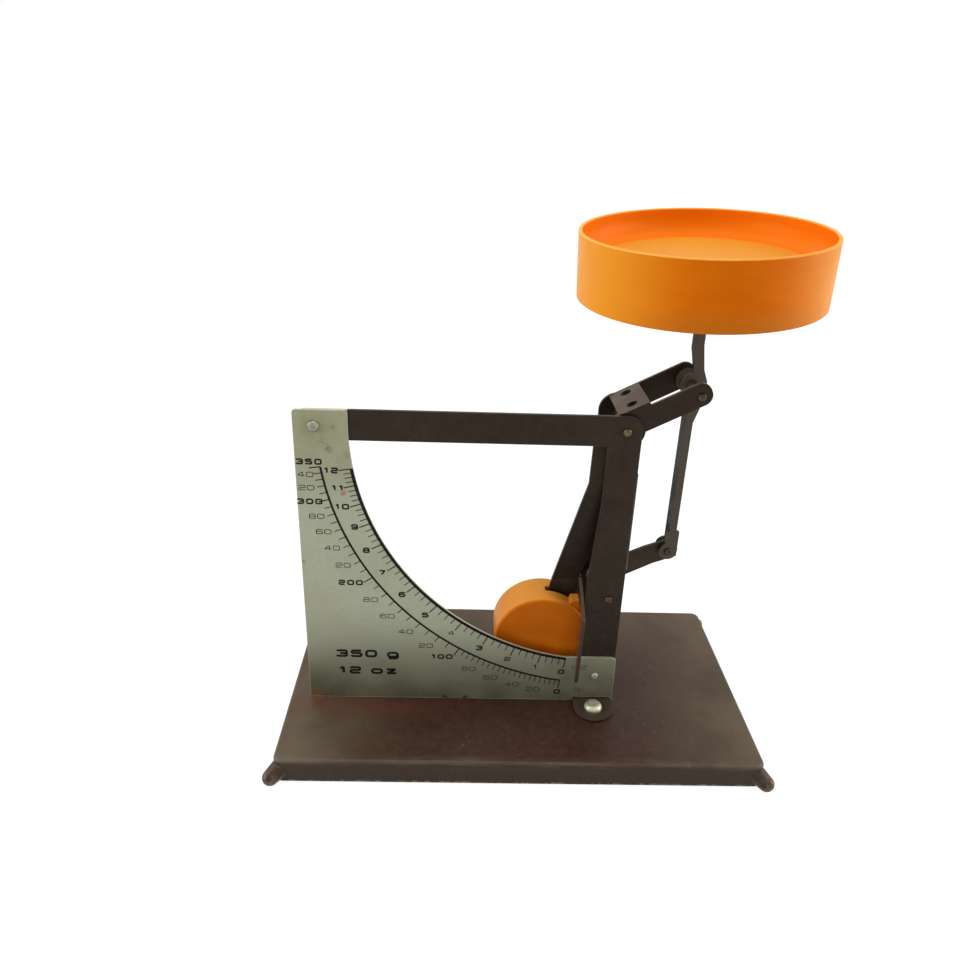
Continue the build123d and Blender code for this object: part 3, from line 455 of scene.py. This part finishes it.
def pan_touch(moulding):
    """The pan has painted shade inside its dish, painted light from above on its floor disc, painted shade
    low on its skirt and a painted highlight along its lip.
    """
    past, out = moulding.along_line(dish_centre, dish_axis)
    above = moulding.step(past, -1.0 * MM, -0.5 * MM)
    inside = moulding.step(out, dish_mouth_radius + 0.2 * MM, dish_mouth_radius)
    # Painted shade: the inside of the dish is a deeper orange
    moulding.coat(tone(226, 111, 6), above, inside)
    # Painted light from above: the floor disc is yellower
    disc = moulding.step(out, dish_floor_radius, dish_floor_radius - 0.3 * MM)
    moulding.coat(tone(210, 137, 38), above, disc)
    # Painted shade: the skirt is darker towards its lower edge
    low_skirt_shade = moulding.step(past, -pan_skirt_drop + 9 * MM, -pan_skirt_drop, 0.0, 0.7)
    moulding.coat(tone(184, 106, 30), low_skirt_shade, moulding.calc("SUBTRACT", 1.0, flank_share(moulding)))
    # Painted highlight: a pale band along the lip of the dish
    rim = moulding.step(past, dish_depth - 0.5 * MM, dish_depth - 0.35 * MM)
    moulding.coat(tone(240, 168, 70), rim, 0.75)


def weight_touch(moulding):
    """Painted light from above: the counterweight is paler where it looks up."""
    moulding.coat(tone(208, 144, 56), moulding.step(moulding.facing("Z"), 0.5, 0.95, 0.0, 0.7))


def worked_metal(name, bright, dull, roughness, grain, tarnish):
    """Plated or bare metal: turned grain, blotchy tarnish and darker dirt in the pits."""
    metal = Finish(name, bright)
    blotch = metal.step(metal.cloud(1.6 * MM, detail=5, rough=0.6, seed=1.0), 0.35, 0.65)
    metal.coat(dull, blotch, tarnish)
    metal.coat(tone(70, 60, 46), metal.step(metal.cells(0.9 * MM), 0.12, 0.05, 0.0, 0.5))
    metal.emboss(metal.cloud(grain, seed=2.0), 0.02 * MM, 0.5)
    gloss = metal.step(metal.cloud(0.8 * MM, seed=3.0), 0.3, 0.7, roughness, roughness + 0.18)
    return metal.done(Roughness=gloss, Metallic=1.0)


def dress(material, *names):
    for name in names:
        data = frame["nodes"][name].data
        data.materials.clear()
        data.materials.append(material)


def dress_paint():
    dress(base_paint(), "base_tray")
    frame_paint = brown_paint(
        "frame_brown_paint", body=tone(44, 34, 27), deep=tone(34, 26, 20),
        haze=tone(74, 65, 55), haze_amount=0.2, upward_paleness=0.1, touches=frame_touch,
    )
    beam_paint = brown_paint(
        "beam_brown_sheet", body=tone(42, 32, 24), deep=tone(30, 23, 17),
        haze=tone(74, 62, 50), haze_amount=0.22, upward_paleness=0.5, touches=pointer_touch,
    )
    dress(frame_paint, "frame")
    dress(beam_paint, "beam")
    for link, touches in (("carrier", carrier_touch), ("stay", None)):
        link_paint = brown_paint(
            link + "_brown_sheet", body=tone(60, 50, 40), deep=tone(47, 39, 31),
            haze=tone(94, 86, 74), haze_amount=0.3, upward_paleness=0.2, touches=touches,
        )
        dress(link_paint, link)


def dress_plastic():
    pan_plastic = orange_plastic(
        "pan_orange_plastic", body=tone(217, 108, 7), deep=tone(209, 100, 4),
        side_light_colour=tone(217, 136, 28), touches=pan_touch,
    )
    # The weight's orange is darker than the pan's: partly its own colour, partly painted shade
    weight_plastic = orange_plastic(
        "weight_orange_plastic", body=tone(194, 100, 16), deep=tone(180, 88, 8),
        side_light_colour=tone(200, 122, 30), touches=weight_touch,
    )
    dress(pan_plastic, "pan")
    dress(weight_plastic, "weight_case", "weight_cap")


def dress_metal():
    # Two copies of one rivet steel: the strap's rivet gets the darker copy, painted shade that offsets the
    # stronger light on it
    strap_rivet_darker_steel = worked_metal(
        "strap_rivet_steel_painted_darker", bright=tone(150, 153, 136), dull=tone(104, 102, 84),
        roughness=0.34, grain=0.6 * MM, tarnish=0.6,
    )
    rubbed = worked_metal(
        "rivet_steel_lighter_copy", bright=tone(186, 187, 166), dull=tone(138, 136, 112),
        roughness=0.46, grain=0.6 * MM, tarnish=0.6,
    )
    dull_brass = worked_metal(
        "pin_dull_brass", bright=tone(108, 96, 70), dull=tone(64, 54, 36),
        roughness=0.34, grain=0.4 * MM, tarnish=0.7,
    )
    dark_brass = worked_metal(
        "pin_dark_brass", bright=tone(84, 74, 54), dull=tone(48, 41, 28),
        roughness=0.4, grain=0.4 * MM, tarnish=0.7,
    )
    turned = worked_metal(
        "spacer_turned_steel", bright=tone(96, 90, 80), dull=tone(58, 52, 44),
        roughness=0.4, grain=0.3 * MM, tarnish=0.6,
    )
    raw = worked_metal(
        "weight_raw_steel", bright=tone(120, 118, 114), dull=tone(70, 62, 54),
        roughness=0.5, grain=0.8 * MM, tarnish=0.8,
    )
    dress(strap_rivet_darker_steel, "strap_rivet")
    dress(rubbed, "side_rivet", "foot_rivets")
    dress(dull_brass, "main_pin")
    dress(dark_brass, "stay_pin", "pan_pin", "guide_pin")
    dress(turned, "main_washers", "stay_sleeve_front", "stay_sleeve_rear", "weight_rivet")
    dress(turned, "pan_sleeve", "pan_washer", "guide_washer", "guide_spacer")
    dress(raw, "weight_discs")


dress_paint()
dress(plate_lacquer(), "scale_plate")
dress_plastic()
dress_metal()


# The printed dial

ink_black = printing_ink()
ink_grey = faded_ink()
ink_thickness = 0.03 * MM
ink_sink = 0.01 * MM

# The balance that the marks follow: loads in grams, and the angles of the pan's arm, the pendulum and zero
balance_load = 257.815
unopposed_load = 6.819
pan_arm_rise = math.radians(30.973)
pendulum_lean = math.radians(2.118)
zero_line = math.radians(84.95)

ounces = 12
grams = 350
grams_per_ounce = 28.3495
ounce_radius = 96.6 * MM
ounce_line_width = 1.2 * MM
gram_radius = 107.15 * MM
gram_line_width = 0.8 * MM
long_tick_width = 0.42 * MM
short_tick_width = 0.32 * MM
bold_height = 2.3 * MM
figure_height = 2.05 * MM


def dial_angle(load):
    """How far below the level line, on the left, the pointer stands for a load in grams."""
    share = (load + unopposed_load) / balance_load
    opposite = share * math.cos(pan_arm_rise) + math.sin(pendulum_lean)
    adjacent = math.cos(pendulum_lean) - share * math.sin(pan_arm_rise)
    return zero_line - math.atan2(opposite, adjacent)


def dial_point(load, radius):
    """A point of the dial, to the right and up from the main pivot."""
    angle = dial_angle(load)
    return Vector((-radius * math.cos(angle), -radius * math.sin(angle)))


def label_point(load, radius, along):
    """The middle of a label, moved up along the arc from the tick that it belongs to."""
    angle = dial_angle(load)
    return dial_point(load, radius) + along * Vector((-math.sin(angle), math.cos(angle)))


def new_tree(name, sizes):
    """A geometry tree with a shape, named sizes and a material going in, and one shape coming out."""
    tree = bpy.data.node_groups.new(name, "GeometryNodeTree")
    tree.interface.new_socket("Geometry", in_out="INPUT", socket_type="NodeSocketGeometry")
    for size in sizes:
        tree.interface.new_socket(size, in_out="INPUT", socket_type="NodeSocketFloat")
    tree.interface.new_socket("Material", in_out="INPUT", socket_type="NodeSocketMaterial")
    tree.interface.new_socket("Geometry", in_out="OUTPUT", socket_type="NodeSocketGeometry")
    return tree, add_node(tree, "NodeGroupInput"), add_node(tree, "NodeGroupOutput")


def close_tree(tree, source, target, shape):
    """Ends a tree in Realize Instances and Set Material."""
    realize = add_node(tree, "GeometryNodeRealizeInstances")
    paint = add_node(tree, "GeometryNodeSetMaterial")
    tree.links.new(shape, realize.inputs["Geometry"])
    tree.links.new(realize.outputs["Geometry"], paint.inputs["Geometry"])
    tree.links.new(source.outputs["Material"], paint.inputs["Material"])
    tree.links.new(paint.outputs["Geometry"], target.inputs["Geometry"])


def stroke_tree():
    """Turns chains of edges into flat printed lines with rounded corners."""
    tree, source, target = new_tree("printed_stroke", ["Width", "Thickness", "Corner"])
    chain = add_node(tree, "GeometryNodeMeshToCurve")
    corner = add_node(tree, "GeometryNodeFilletCurve", mode="POLY")
    level = add_node(tree, "GeometryNodeSetCurveNormal", mode="Z_UP")
    section = add_node(tree, "GeometryNodeCurvePrimitiveQuadrilateral")
    body = add_node(tree, "GeometryNodeCurveToMesh")
    corner.inputs["Count"].default_value = 4
    corner.inputs["Limit Radius"].default_value = True
    body.inputs["Fill Caps"].default_value = True
    tree.links.new(source.outputs["Geometry"], chain.inputs["Mesh"])
    tree.links.new(chain.outputs["Curve"], corner.inputs["Curve"])
    tree.links.new(source.outputs["Corner"], corner.inputs["Radius"])
    tree.links.new(corner.outputs["Curve"], level.inputs["Curve"])
    tree.links.new(source.outputs["Width"], section.inputs["Width"])
    tree.links.new(source.outputs["Thickness"], section.inputs["Height"])
    tree.links.new(level.outputs["Curve"], body.inputs["Curve"])
    tree.links.new(section.outputs["Curve"], body.inputs["Profile Curve"])
    close_tree(tree, source, target, body.outputs["Mesh"])
    return tree


def tick_tree():
    """Lays one printed tick outwards from each point of the dial, away from the pivot at the origin."""
    tree, source, target = new_tree("printed_tick", ["Width", "Length", "Thickness"])
    block_size = add_node(tree, "ShaderNodeCombineXYZ")
    block = add_node(tree, "GeometryNodeMeshCube")
    outward = add_node(tree, "GeometryNodeTransform")
    half = add_node(tree, "ShaderNodeMath", operation="MULTIPLY")
    half.inputs[1].default_value = 0.5
    move = add_node(tree, "ShaderNodeCombineXYZ")
    place = add_node(tree, "GeometryNodeInputPosition")
    turn = add_node(tree, "FunctionNodeAlignRotationToVector", axis="X")
    spread = add_node(tree, "GeometryNodeInstanceOnPoints")
    tree.links.new(source.outputs["Length"], block_size.inputs["X"])
    tree.links.new(source.outputs["Width"], block_size.inputs["Y"])
    tree.links.new(source.outputs["Thickness"], block_size.inputs["Z"])
    tree.links.new(block_size.outputs["Vector"], block.inputs["Size"])
    tree.links.new(source.outputs["Length"], half.inputs[0])
    tree.links.new(half.outputs["Value"], move.inputs["X"])
    tree.links.new(block.outputs["Mesh"], outward.inputs["Geometry"])
    tree.links.new(move.outputs["Vector"], outward.inputs["Translation"])
    tree.links.new(place.outputs["Position"], turn.inputs["Vector"])
    tree.links.new(source.outputs["Geometry"], spread.inputs["Points"])
    tree.links.new(outward.outputs["Geometry"], spread.inputs["Instance"])
    tree.links.new(turn.outputs["Rotation"], spread.inputs["Rotation"])
    close_tree(tree, source, target, spread.outputs["Instances"])
    return tree


strokes = stroke_tree()
ticks = tick_tree()


def print_piece(name, tree, chains, ink, **sizes):
    """Runs a tree over points given right and up from the pivot, and stands the result on the plate."""
    guide = bpy.data.meshes.new(name + "_guide")
    points = [point for chain, _ in chains for point in chain]
    edges = []
    first = 0
    for chain, closed in chains:
        edges += [(first + i, first + i + 1) for i in range(len(chain) - 1)]
        if closed:
            edges.append((first + len(chain) - 1, first))
        first += len(chain)
    guide.from_pydata([(point[0], point[1], 0.0) for point in points], edges, [])
    piece = bpy.data.objects.new(name, guide)
    bpy.context.scene.collection.objects.link(piece)
    modifier = piece.modifiers.new("print", "NODES")
    modifier.node_group = tree
    values = {size.title(): amount for size, amount in sizes.items()}
    values.update({"Thickness": ink_thickness, "Material": ink})
    for item in tree.interface.items_tree:
        if item.in_out == "INPUT" and item.name in values:
            modifier[item.identifier] = values[item.name]
    evaluated = piece.evaluated_get(bpy.context.evaluated_depsgraph_get())
    made = bpy.data.meshes.new_from_object(evaluated)
    piece.modifiers.remove(modifier)
    piece.data = made
    upright = Matrix.Rotation(math.radians(90), 4, "X")
    face = plate_low.y - ink_thickness / 2 + ink_sink
    made.transform(Matrix.Translation((main_pivot.x, face, main_pivot.z)) @ upright)
    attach(piece, "base")


# Each figure is drawn in a box one wide and one high, as chains of corners; True closes a chain
figure_strokes = {
    "0": [([(0, 0), (1, 0), (1, 1), (0, 1)], True)],
    "1": [([(0.1, 0.72), (0.42, 1), (0.66, 1)], False), ([(0.66, 1), (0.66, 0)], False)],
    "2": [([(0, 0.78), (0, 1), (1, 1), (1, 0.5), (0, 0.5), (0, 0), (1, 0)], False)],
    "3": [
        ([(0, 0.82), (0, 1), (1, 1), (1, 0.5), (0.3, 0.5)], False),
        ([(0.9, 0.5), (1, 0.5), (1, 0), (0, 0), (0, 0.2)], False),
    ],
    "4": [([(0.72, 0), (0.72, 1)], False), ([(0.66, 1), (0, 0.36)], False), ([(0, 0.28), (1, 0.28)], False)],
    "5": [([(1, 1), (0, 1), (0, 0.56), (1, 0.56), (1, 0), (0, 0), (0, 0.18)], False)],
    "6": [([(1, 0.84), (1, 1), (0, 1), (0, 0), (1, 0), (1, 0.56), (0.05, 0.56)], False)],
    "7": [([(0, 1), (1, 1)], False), ([(0.98, 1), (0.36, 0)], False)],
    "8": [
        ([(0, 0), (1, 0), (1, 0.52), (0, 0.52)], True),
        ([(0.06, 0.52), (0.06, 1), (0.94, 1), (0.94, 0.52)], False),
    ],
    "9": [([(0, 0.16), (0, 0), (1, 0), (1, 1), (0, 1), (0, 0.44), (0.95, 0.44)], False)],
    "g": [([(0, 0), (1, 0), (1, 0.7), (0, 0.7)], True), ([(1, 0.3), (1, -0.32), (0.05, -0.32)], False)],
    "o": [([(0, 0), (1, 0), (1, 0.7), (0, 0.7)], True)],
    "z": [
        ([(0, 0.7), (0.95, 0.7)], False),
        ([(0.92, 0.68), (0.08, 0.02)], False),
        ([(0.05, 0), (1, 0)], False),
    ],
}
narrow_figures = {"1": 0.7}


def figure_chains(text, centre, height, stroke, widen):
    """The chains of a row of figures, with its middle at centre and each widen times as wide as high."""
    gap = height * 0.16 + stroke * 0.4
    blank = height * 0.5
    widths = [height * widen * narrow_figures.get(figure, 1.0) if figure != " " else blank for figure in text]
    left = centre[0] - (sum(widths) + gap * (len(text) - 1)) / 2
    bottom = centre[1] - height / 2
    chains = []
    for figure, width in zip(text, widths):
        for corners, closed in figure_strokes.get(figure, []):
            chain = [
                (left + stroke / 2 + x * (width - stroke), bottom + stroke / 2 + y * (height - stroke))
                for x, y in corners
            ]
            chains.append((chain, closed))
        left += width + gap
    return chains


def dial_line(name, last_load, radius, width):
    """One arc of the dial, from zero to its last load."""
    steps = 120
    arc = [dial_point(last_load * i / steps, radius) for i in range(steps + 1)]
    print_piece(name, strokes, [(arc, False)], ink_black, width=width, corner=0.0)


def dial_ticks(name, loads, radius, width, length):
    """A row of ticks outwards from an arc, one for each load."""
    starts = [([dial_point(load, radius)], False) for load in loads]
    print_piece(name, ticks, starts, ink_black, width=width, length=length)


def ounce_labels(labels):
    """Adds the ounce figures: bold, apart from a medium 1 and 2 and a light 4."""
    kinds = {1: "medium", 2: "medium", 4: "light"}
    # How far outwards and up along the arc, in mm; three figures stand a little off the even row
    row_outwards, row_along = 6.4, 0.4
    nudges = {9: (-0.5, 0.4), 10: (0.7, 0.5), 12: (0.7, 0.0)}
    for ounce in range(ounces + 1):
        outwards, along = nudges.get(ounce, (0.0, 0.0))
        radius = ounce_radius + (row_outwards + outwards) * MM
        place = label_point(ounce * grams_per_ounce, radius, (row_along + along) * MM)
        labels[kinds.get(ounce, "bold")].append((str(ounce), place))


def gram_labels(labels):
    """Adds the gram figures: the last two digits in light print between the hundreds, which are bold."""
    # How far outwards and up along the arc, in mm; past 240 the light figures sink nearer to their ticks
    row_outwards, last_outwards, row_along, sink = 6.6, 5.7, 1.55, 1.35
    bold_places = {0: (5.7, 0.0), 100: (7.0, 3.6), 200: (8.2, 2.6), 300: (7.0, 0.9), grams: (3.6, 2.4)}
    for gram in range(20, grams, 20):
        if gram % 100:
            outwards = last_outwards if gram > 320 else row_outwards
            along = row_along - sink * max(0, gram - 240) / 100
            place = label_point(gram, gram_radius + outwards * MM, along * MM)
            labels["light"].append((str(gram % 100), place))
    for gram, (outwards, along) in bold_places.items():
        place = label_point(gram, gram_radius + outwards * MM, along * MM)
        labels["bold"].append((str(gram), place))


def dial_figures():
    """Every figure of both arcs, in three weights of print."""
    labels = {"bold": [], "medium": [], "light": []}
    ounce_labels(labels)
    gram_labels(labels)
    for kind, height, stroke, widen, ink in (
        ("bold", bold_height, 0.62 * MM, 1.14, ink_black),
        ("medium", figure_height, 0.42 * MM, 1.25, ink_black),
        ("light", figure_height, 0.3 * MM, 1.25, ink_grey),
    ):
        chains = []
        for text, centre in labels[kind]:
            chains += figure_chains(text, centre, height, stroke, widen)
        print_piece("dial_figures_" + kind, strokes, chains, ink, width=stroke, corner=0.5 * MM)


def dial_units():
    """The faded unit beside the zero end of each arc."""
    middle = -8.6 * MM
    ounce_unit_rise = -99.3 * MM
    gram_unit_rise = -110.0 * MM
    stroke = 0.2 * MM
    chains = figure_chains("oz", (middle, ounce_unit_rise), 2.4 * MM, stroke, 1.1)
    chains += figure_chains("g", (middle, gram_unit_rise), 2.0 * MM, stroke, 1.1)
    print_piece("dial_units", strokes, chains, ink_grey, width=stroke, corner=0.4 * MM)


def plate_capacity():
    """The largest load, in two large lines at the plate's lower left."""
    middle = plate_low.x - main_pivot.x + 23 * MM
    first_line_rise = -94.5 * MM
    line_drop = 8 * MM
    height = 3.6 * MM
    stroke = 1.0 * MM
    chains = figure_chains("350 g", (middle, first_line_rise), height, stroke, 1.3)
    chains += figure_chains("12 oz", (middle, first_line_rise - line_drop), height, stroke, 1.3)
    print_piece("plate_capacity", strokes, chains, ink_black, width=stroke, corner=0.9 * MM)


dial_line("dial_line_ounces", ounces * grams_per_ounce, ounce_radius, ounce_line_width)
dial_line("dial_line_grams", grams, gram_radius, gram_line_width)

whole_ounces = [i * grams_per_ounce for i in range(ounces + 1)]
quarter_ounces = [i / 4 * grams_per_ounce for i in range(4 * ounces) if i % 4]
hundreds = [0, 100, 200, 300, grams]
tens = [load for load in [*range(5, 100, 10), *range(10, grams, 10)] if load not in hundreds]
dial_ticks("dial_ticks_ounces", whole_ounces, ounce_radius, long_tick_width, 4.4 * MM)
dial_ticks("dial_ticks_quarters", quarter_ounces, ounce_radius, short_tick_width, 3.1 * MM)
dial_ticks("dial_ticks_hundreds", hundreds, gram_radius, long_tick_width, 4.0 * MM)
dial_ticks("dial_ticks_tens", tens, gram_radius, short_tick_width, 2.8 * MM)

dial_figures()
dial_units()
plate_capacity()


# The studio

def bright_ray(tree):
    """1 for what the camera, a reflection or glass sees directly."""
    path = add_node(tree, "ShaderNodeLightPath")
    total = path.outputs["Is Camera Ray"]
    for name in ("Is Glossy Ray", "Is Transmission Ray"):
        add = add_node(tree, "ShaderNodeMath", operation="ADD", use_clamp=True)
        tree.links.new(total, add.inputs[0])
        tree.links.new(path.outputs[name], add.inputs[1])
        total = add.outputs["Value"]
    return total


def studio_floor():
    """A plain white floor that keeps a faint shadow of the scale, with a wide painted shade around it."""
    half = 3.0
    corners = [(-half, -half, 0), (half, -half, 0), (half, half, 0), (-half, half, 0)]
    mesh = bpy.data.meshes.new("studio_floor")
    mesh.from_pydata(corners, [], [(0, 1, 2, 3)])
    floor = bpy.data.objects.new("studio_floor", mesh)
    bpy.context.scene.collection.objects.link(floor)
    material = bpy.data.materials.new("studio_floor_white")
    material.use_nodes = True
    tree = material.node_tree
    tree.nodes.clear()

    # What lights up other things is plain matt; what is seen is mostly glow, so only some shadow shows
    matt = add_node(tree, "ShaderNodeBsdfDiffuse")
    matt.inputs["Color"].default_value = (0.62, 0.62, 0.62, 1)
    shadowed = add_node(tree, "ShaderNodeBsdfDiffuse")
    shadowed.inputs["Color"].default_value = (0.16, 0.16, 0.16, 1)
    glow = add_node(tree, "ShaderNodeEmission")
    glow.inputs["Color"].default_value = (1, 1, 1, 1)
    # Painted shade: the glow is weaker near the scale, so the floor is darker around it
    distance = add_node(tree, "ShaderNodeVectorMath", operation="LENGTH")
    tree.links.new(add_node(tree, "ShaderNodeTexCoord").outputs["Object"], distance.inputs[0])
    away = add_node(tree, "ShaderNodeMapRange")
    for name, value in {"From Min": 0.25, "From Max": 0.6, "To Min": 0.9, "To Max": 1.0}.items():
        away.inputs[name].default_value = value
    tree.links.new(distance.outputs["Value"], away.inputs["Value"])
    tree.links.new(away.outputs["Result"], glow.inputs["Strength"])

    seen = add_node(tree, "ShaderNodeAddShader")
    tree.links.new(shadowed.outputs["BSDF"], seen.inputs[0])
    tree.links.new(glow.outputs["Emission"], seen.inputs[1])
    choose = add_node(tree, "ShaderNodeMixShader")
    tree.links.new(bright_ray(tree), choose.inputs["Fac"])
    tree.links.new(matt.outputs["BSDF"], choose.inputs[1])
    tree.links.new(seen.outputs["Shader"], choose.inputs[2])
    out = add_node(tree, "ShaderNodeOutputMaterial")
    tree.links.new(choose.outputs["Shader"], out.inputs["Surface"])
    mesh.materials.append(material)


def studio_world(fill):
    """White where it is seen or mirrored, and a softer fill everywhere else."""
    world = bpy.data.worlds.new("studio_white")
    world.use_nodes = True
    bpy.context.scene.world = world
    tree = world.node_tree
    background = tree.nodes["Background"]
    background.inputs["Color"].default_value = (1, 1, 1, 1)
    strength = add_node(tree, "ShaderNodeMapRange")
    strength.inputs["To Min"].default_value = fill
    strength.inputs["To Max"].default_value = 1.0
    tree.links.new(bright_ray(tree), strength.inputs["Value"])
    tree.links.new(strength.outputs["Result"], background.inputs["Strength"])


def soft_light(name, place, size, power):
    """A square lamp that looks at the middle of the scale."""
    middle = Vector((0, 0, 0.08))
    lamp = bpy.data.lights.new(name, "AREA")
    lamp.shape = "RECTANGLE"
    lamp.size = size
    lamp.size_y = size
    lamp.energy = power
    holder = bpy.data.objects.new(name, lamp)
    holder.location = place
    holder.rotation_mode = "QUATERNION"
    holder.rotation_quaternion = (middle - Vector(place)).to_track_quat("-Z", "Y")
    bpy.context.scene.collection.objects.link(holder)


def camera():
    """The photograph's view: from the front, a little above the pan, tipped sideways by two degrees."""
    place = Vector((-26.57, -268.77, 225.75)) * MM
    yaw, pitch, roll = (math.radians(angle) for angle in (1.714, 24.269, 2.02))
    ahead = Vector((math.sin(yaw) * math.cos(pitch), math.cos(yaw) * math.cos(pitch), -math.sin(pitch)))
    right = Vector((math.cos(yaw), -math.sin(yaw), 0.0))
    up = right.cross(ahead)
    rolled_right = math.cos(roll) * right + math.sin(roll) * up
    rolled_up = math.cos(roll) * up - math.sin(roll) * right
    turn = Matrix((rolled_right, rolled_up, -ahead)).transposed().to_4x4()
    lens = bpy.data.cameras.new("camera")
    lens.sensor_width = 36
    lens.lens = 29.94
    lens.shift_x = -0.0024
    lens.shift_y = -0.0107
    lens.clip_start = 0.01
    holder = bpy.data.objects.new("camera", lens)
    holder.matrix_world = Matrix.Translation(place) @ turn
    bpy.context.scene.collection.objects.link(holder)
    bpy.context.scene.camera = holder


studio_floor()
studio_world(fill=0.36)
soft_light("top_softbox", place=(0, 0.05, 0.9), size=0.9, power=4.8)
soft_light("left_softbox", place=(-0.8, -0.12, 0.4), size=0.7, power=6.2)
soft_light("right_softbox", place=(0.8, -0.12, 0.4), size=0.7, power=6.2)
camera()
bpy.context.scene.view_settings.view_transform = "Standard"
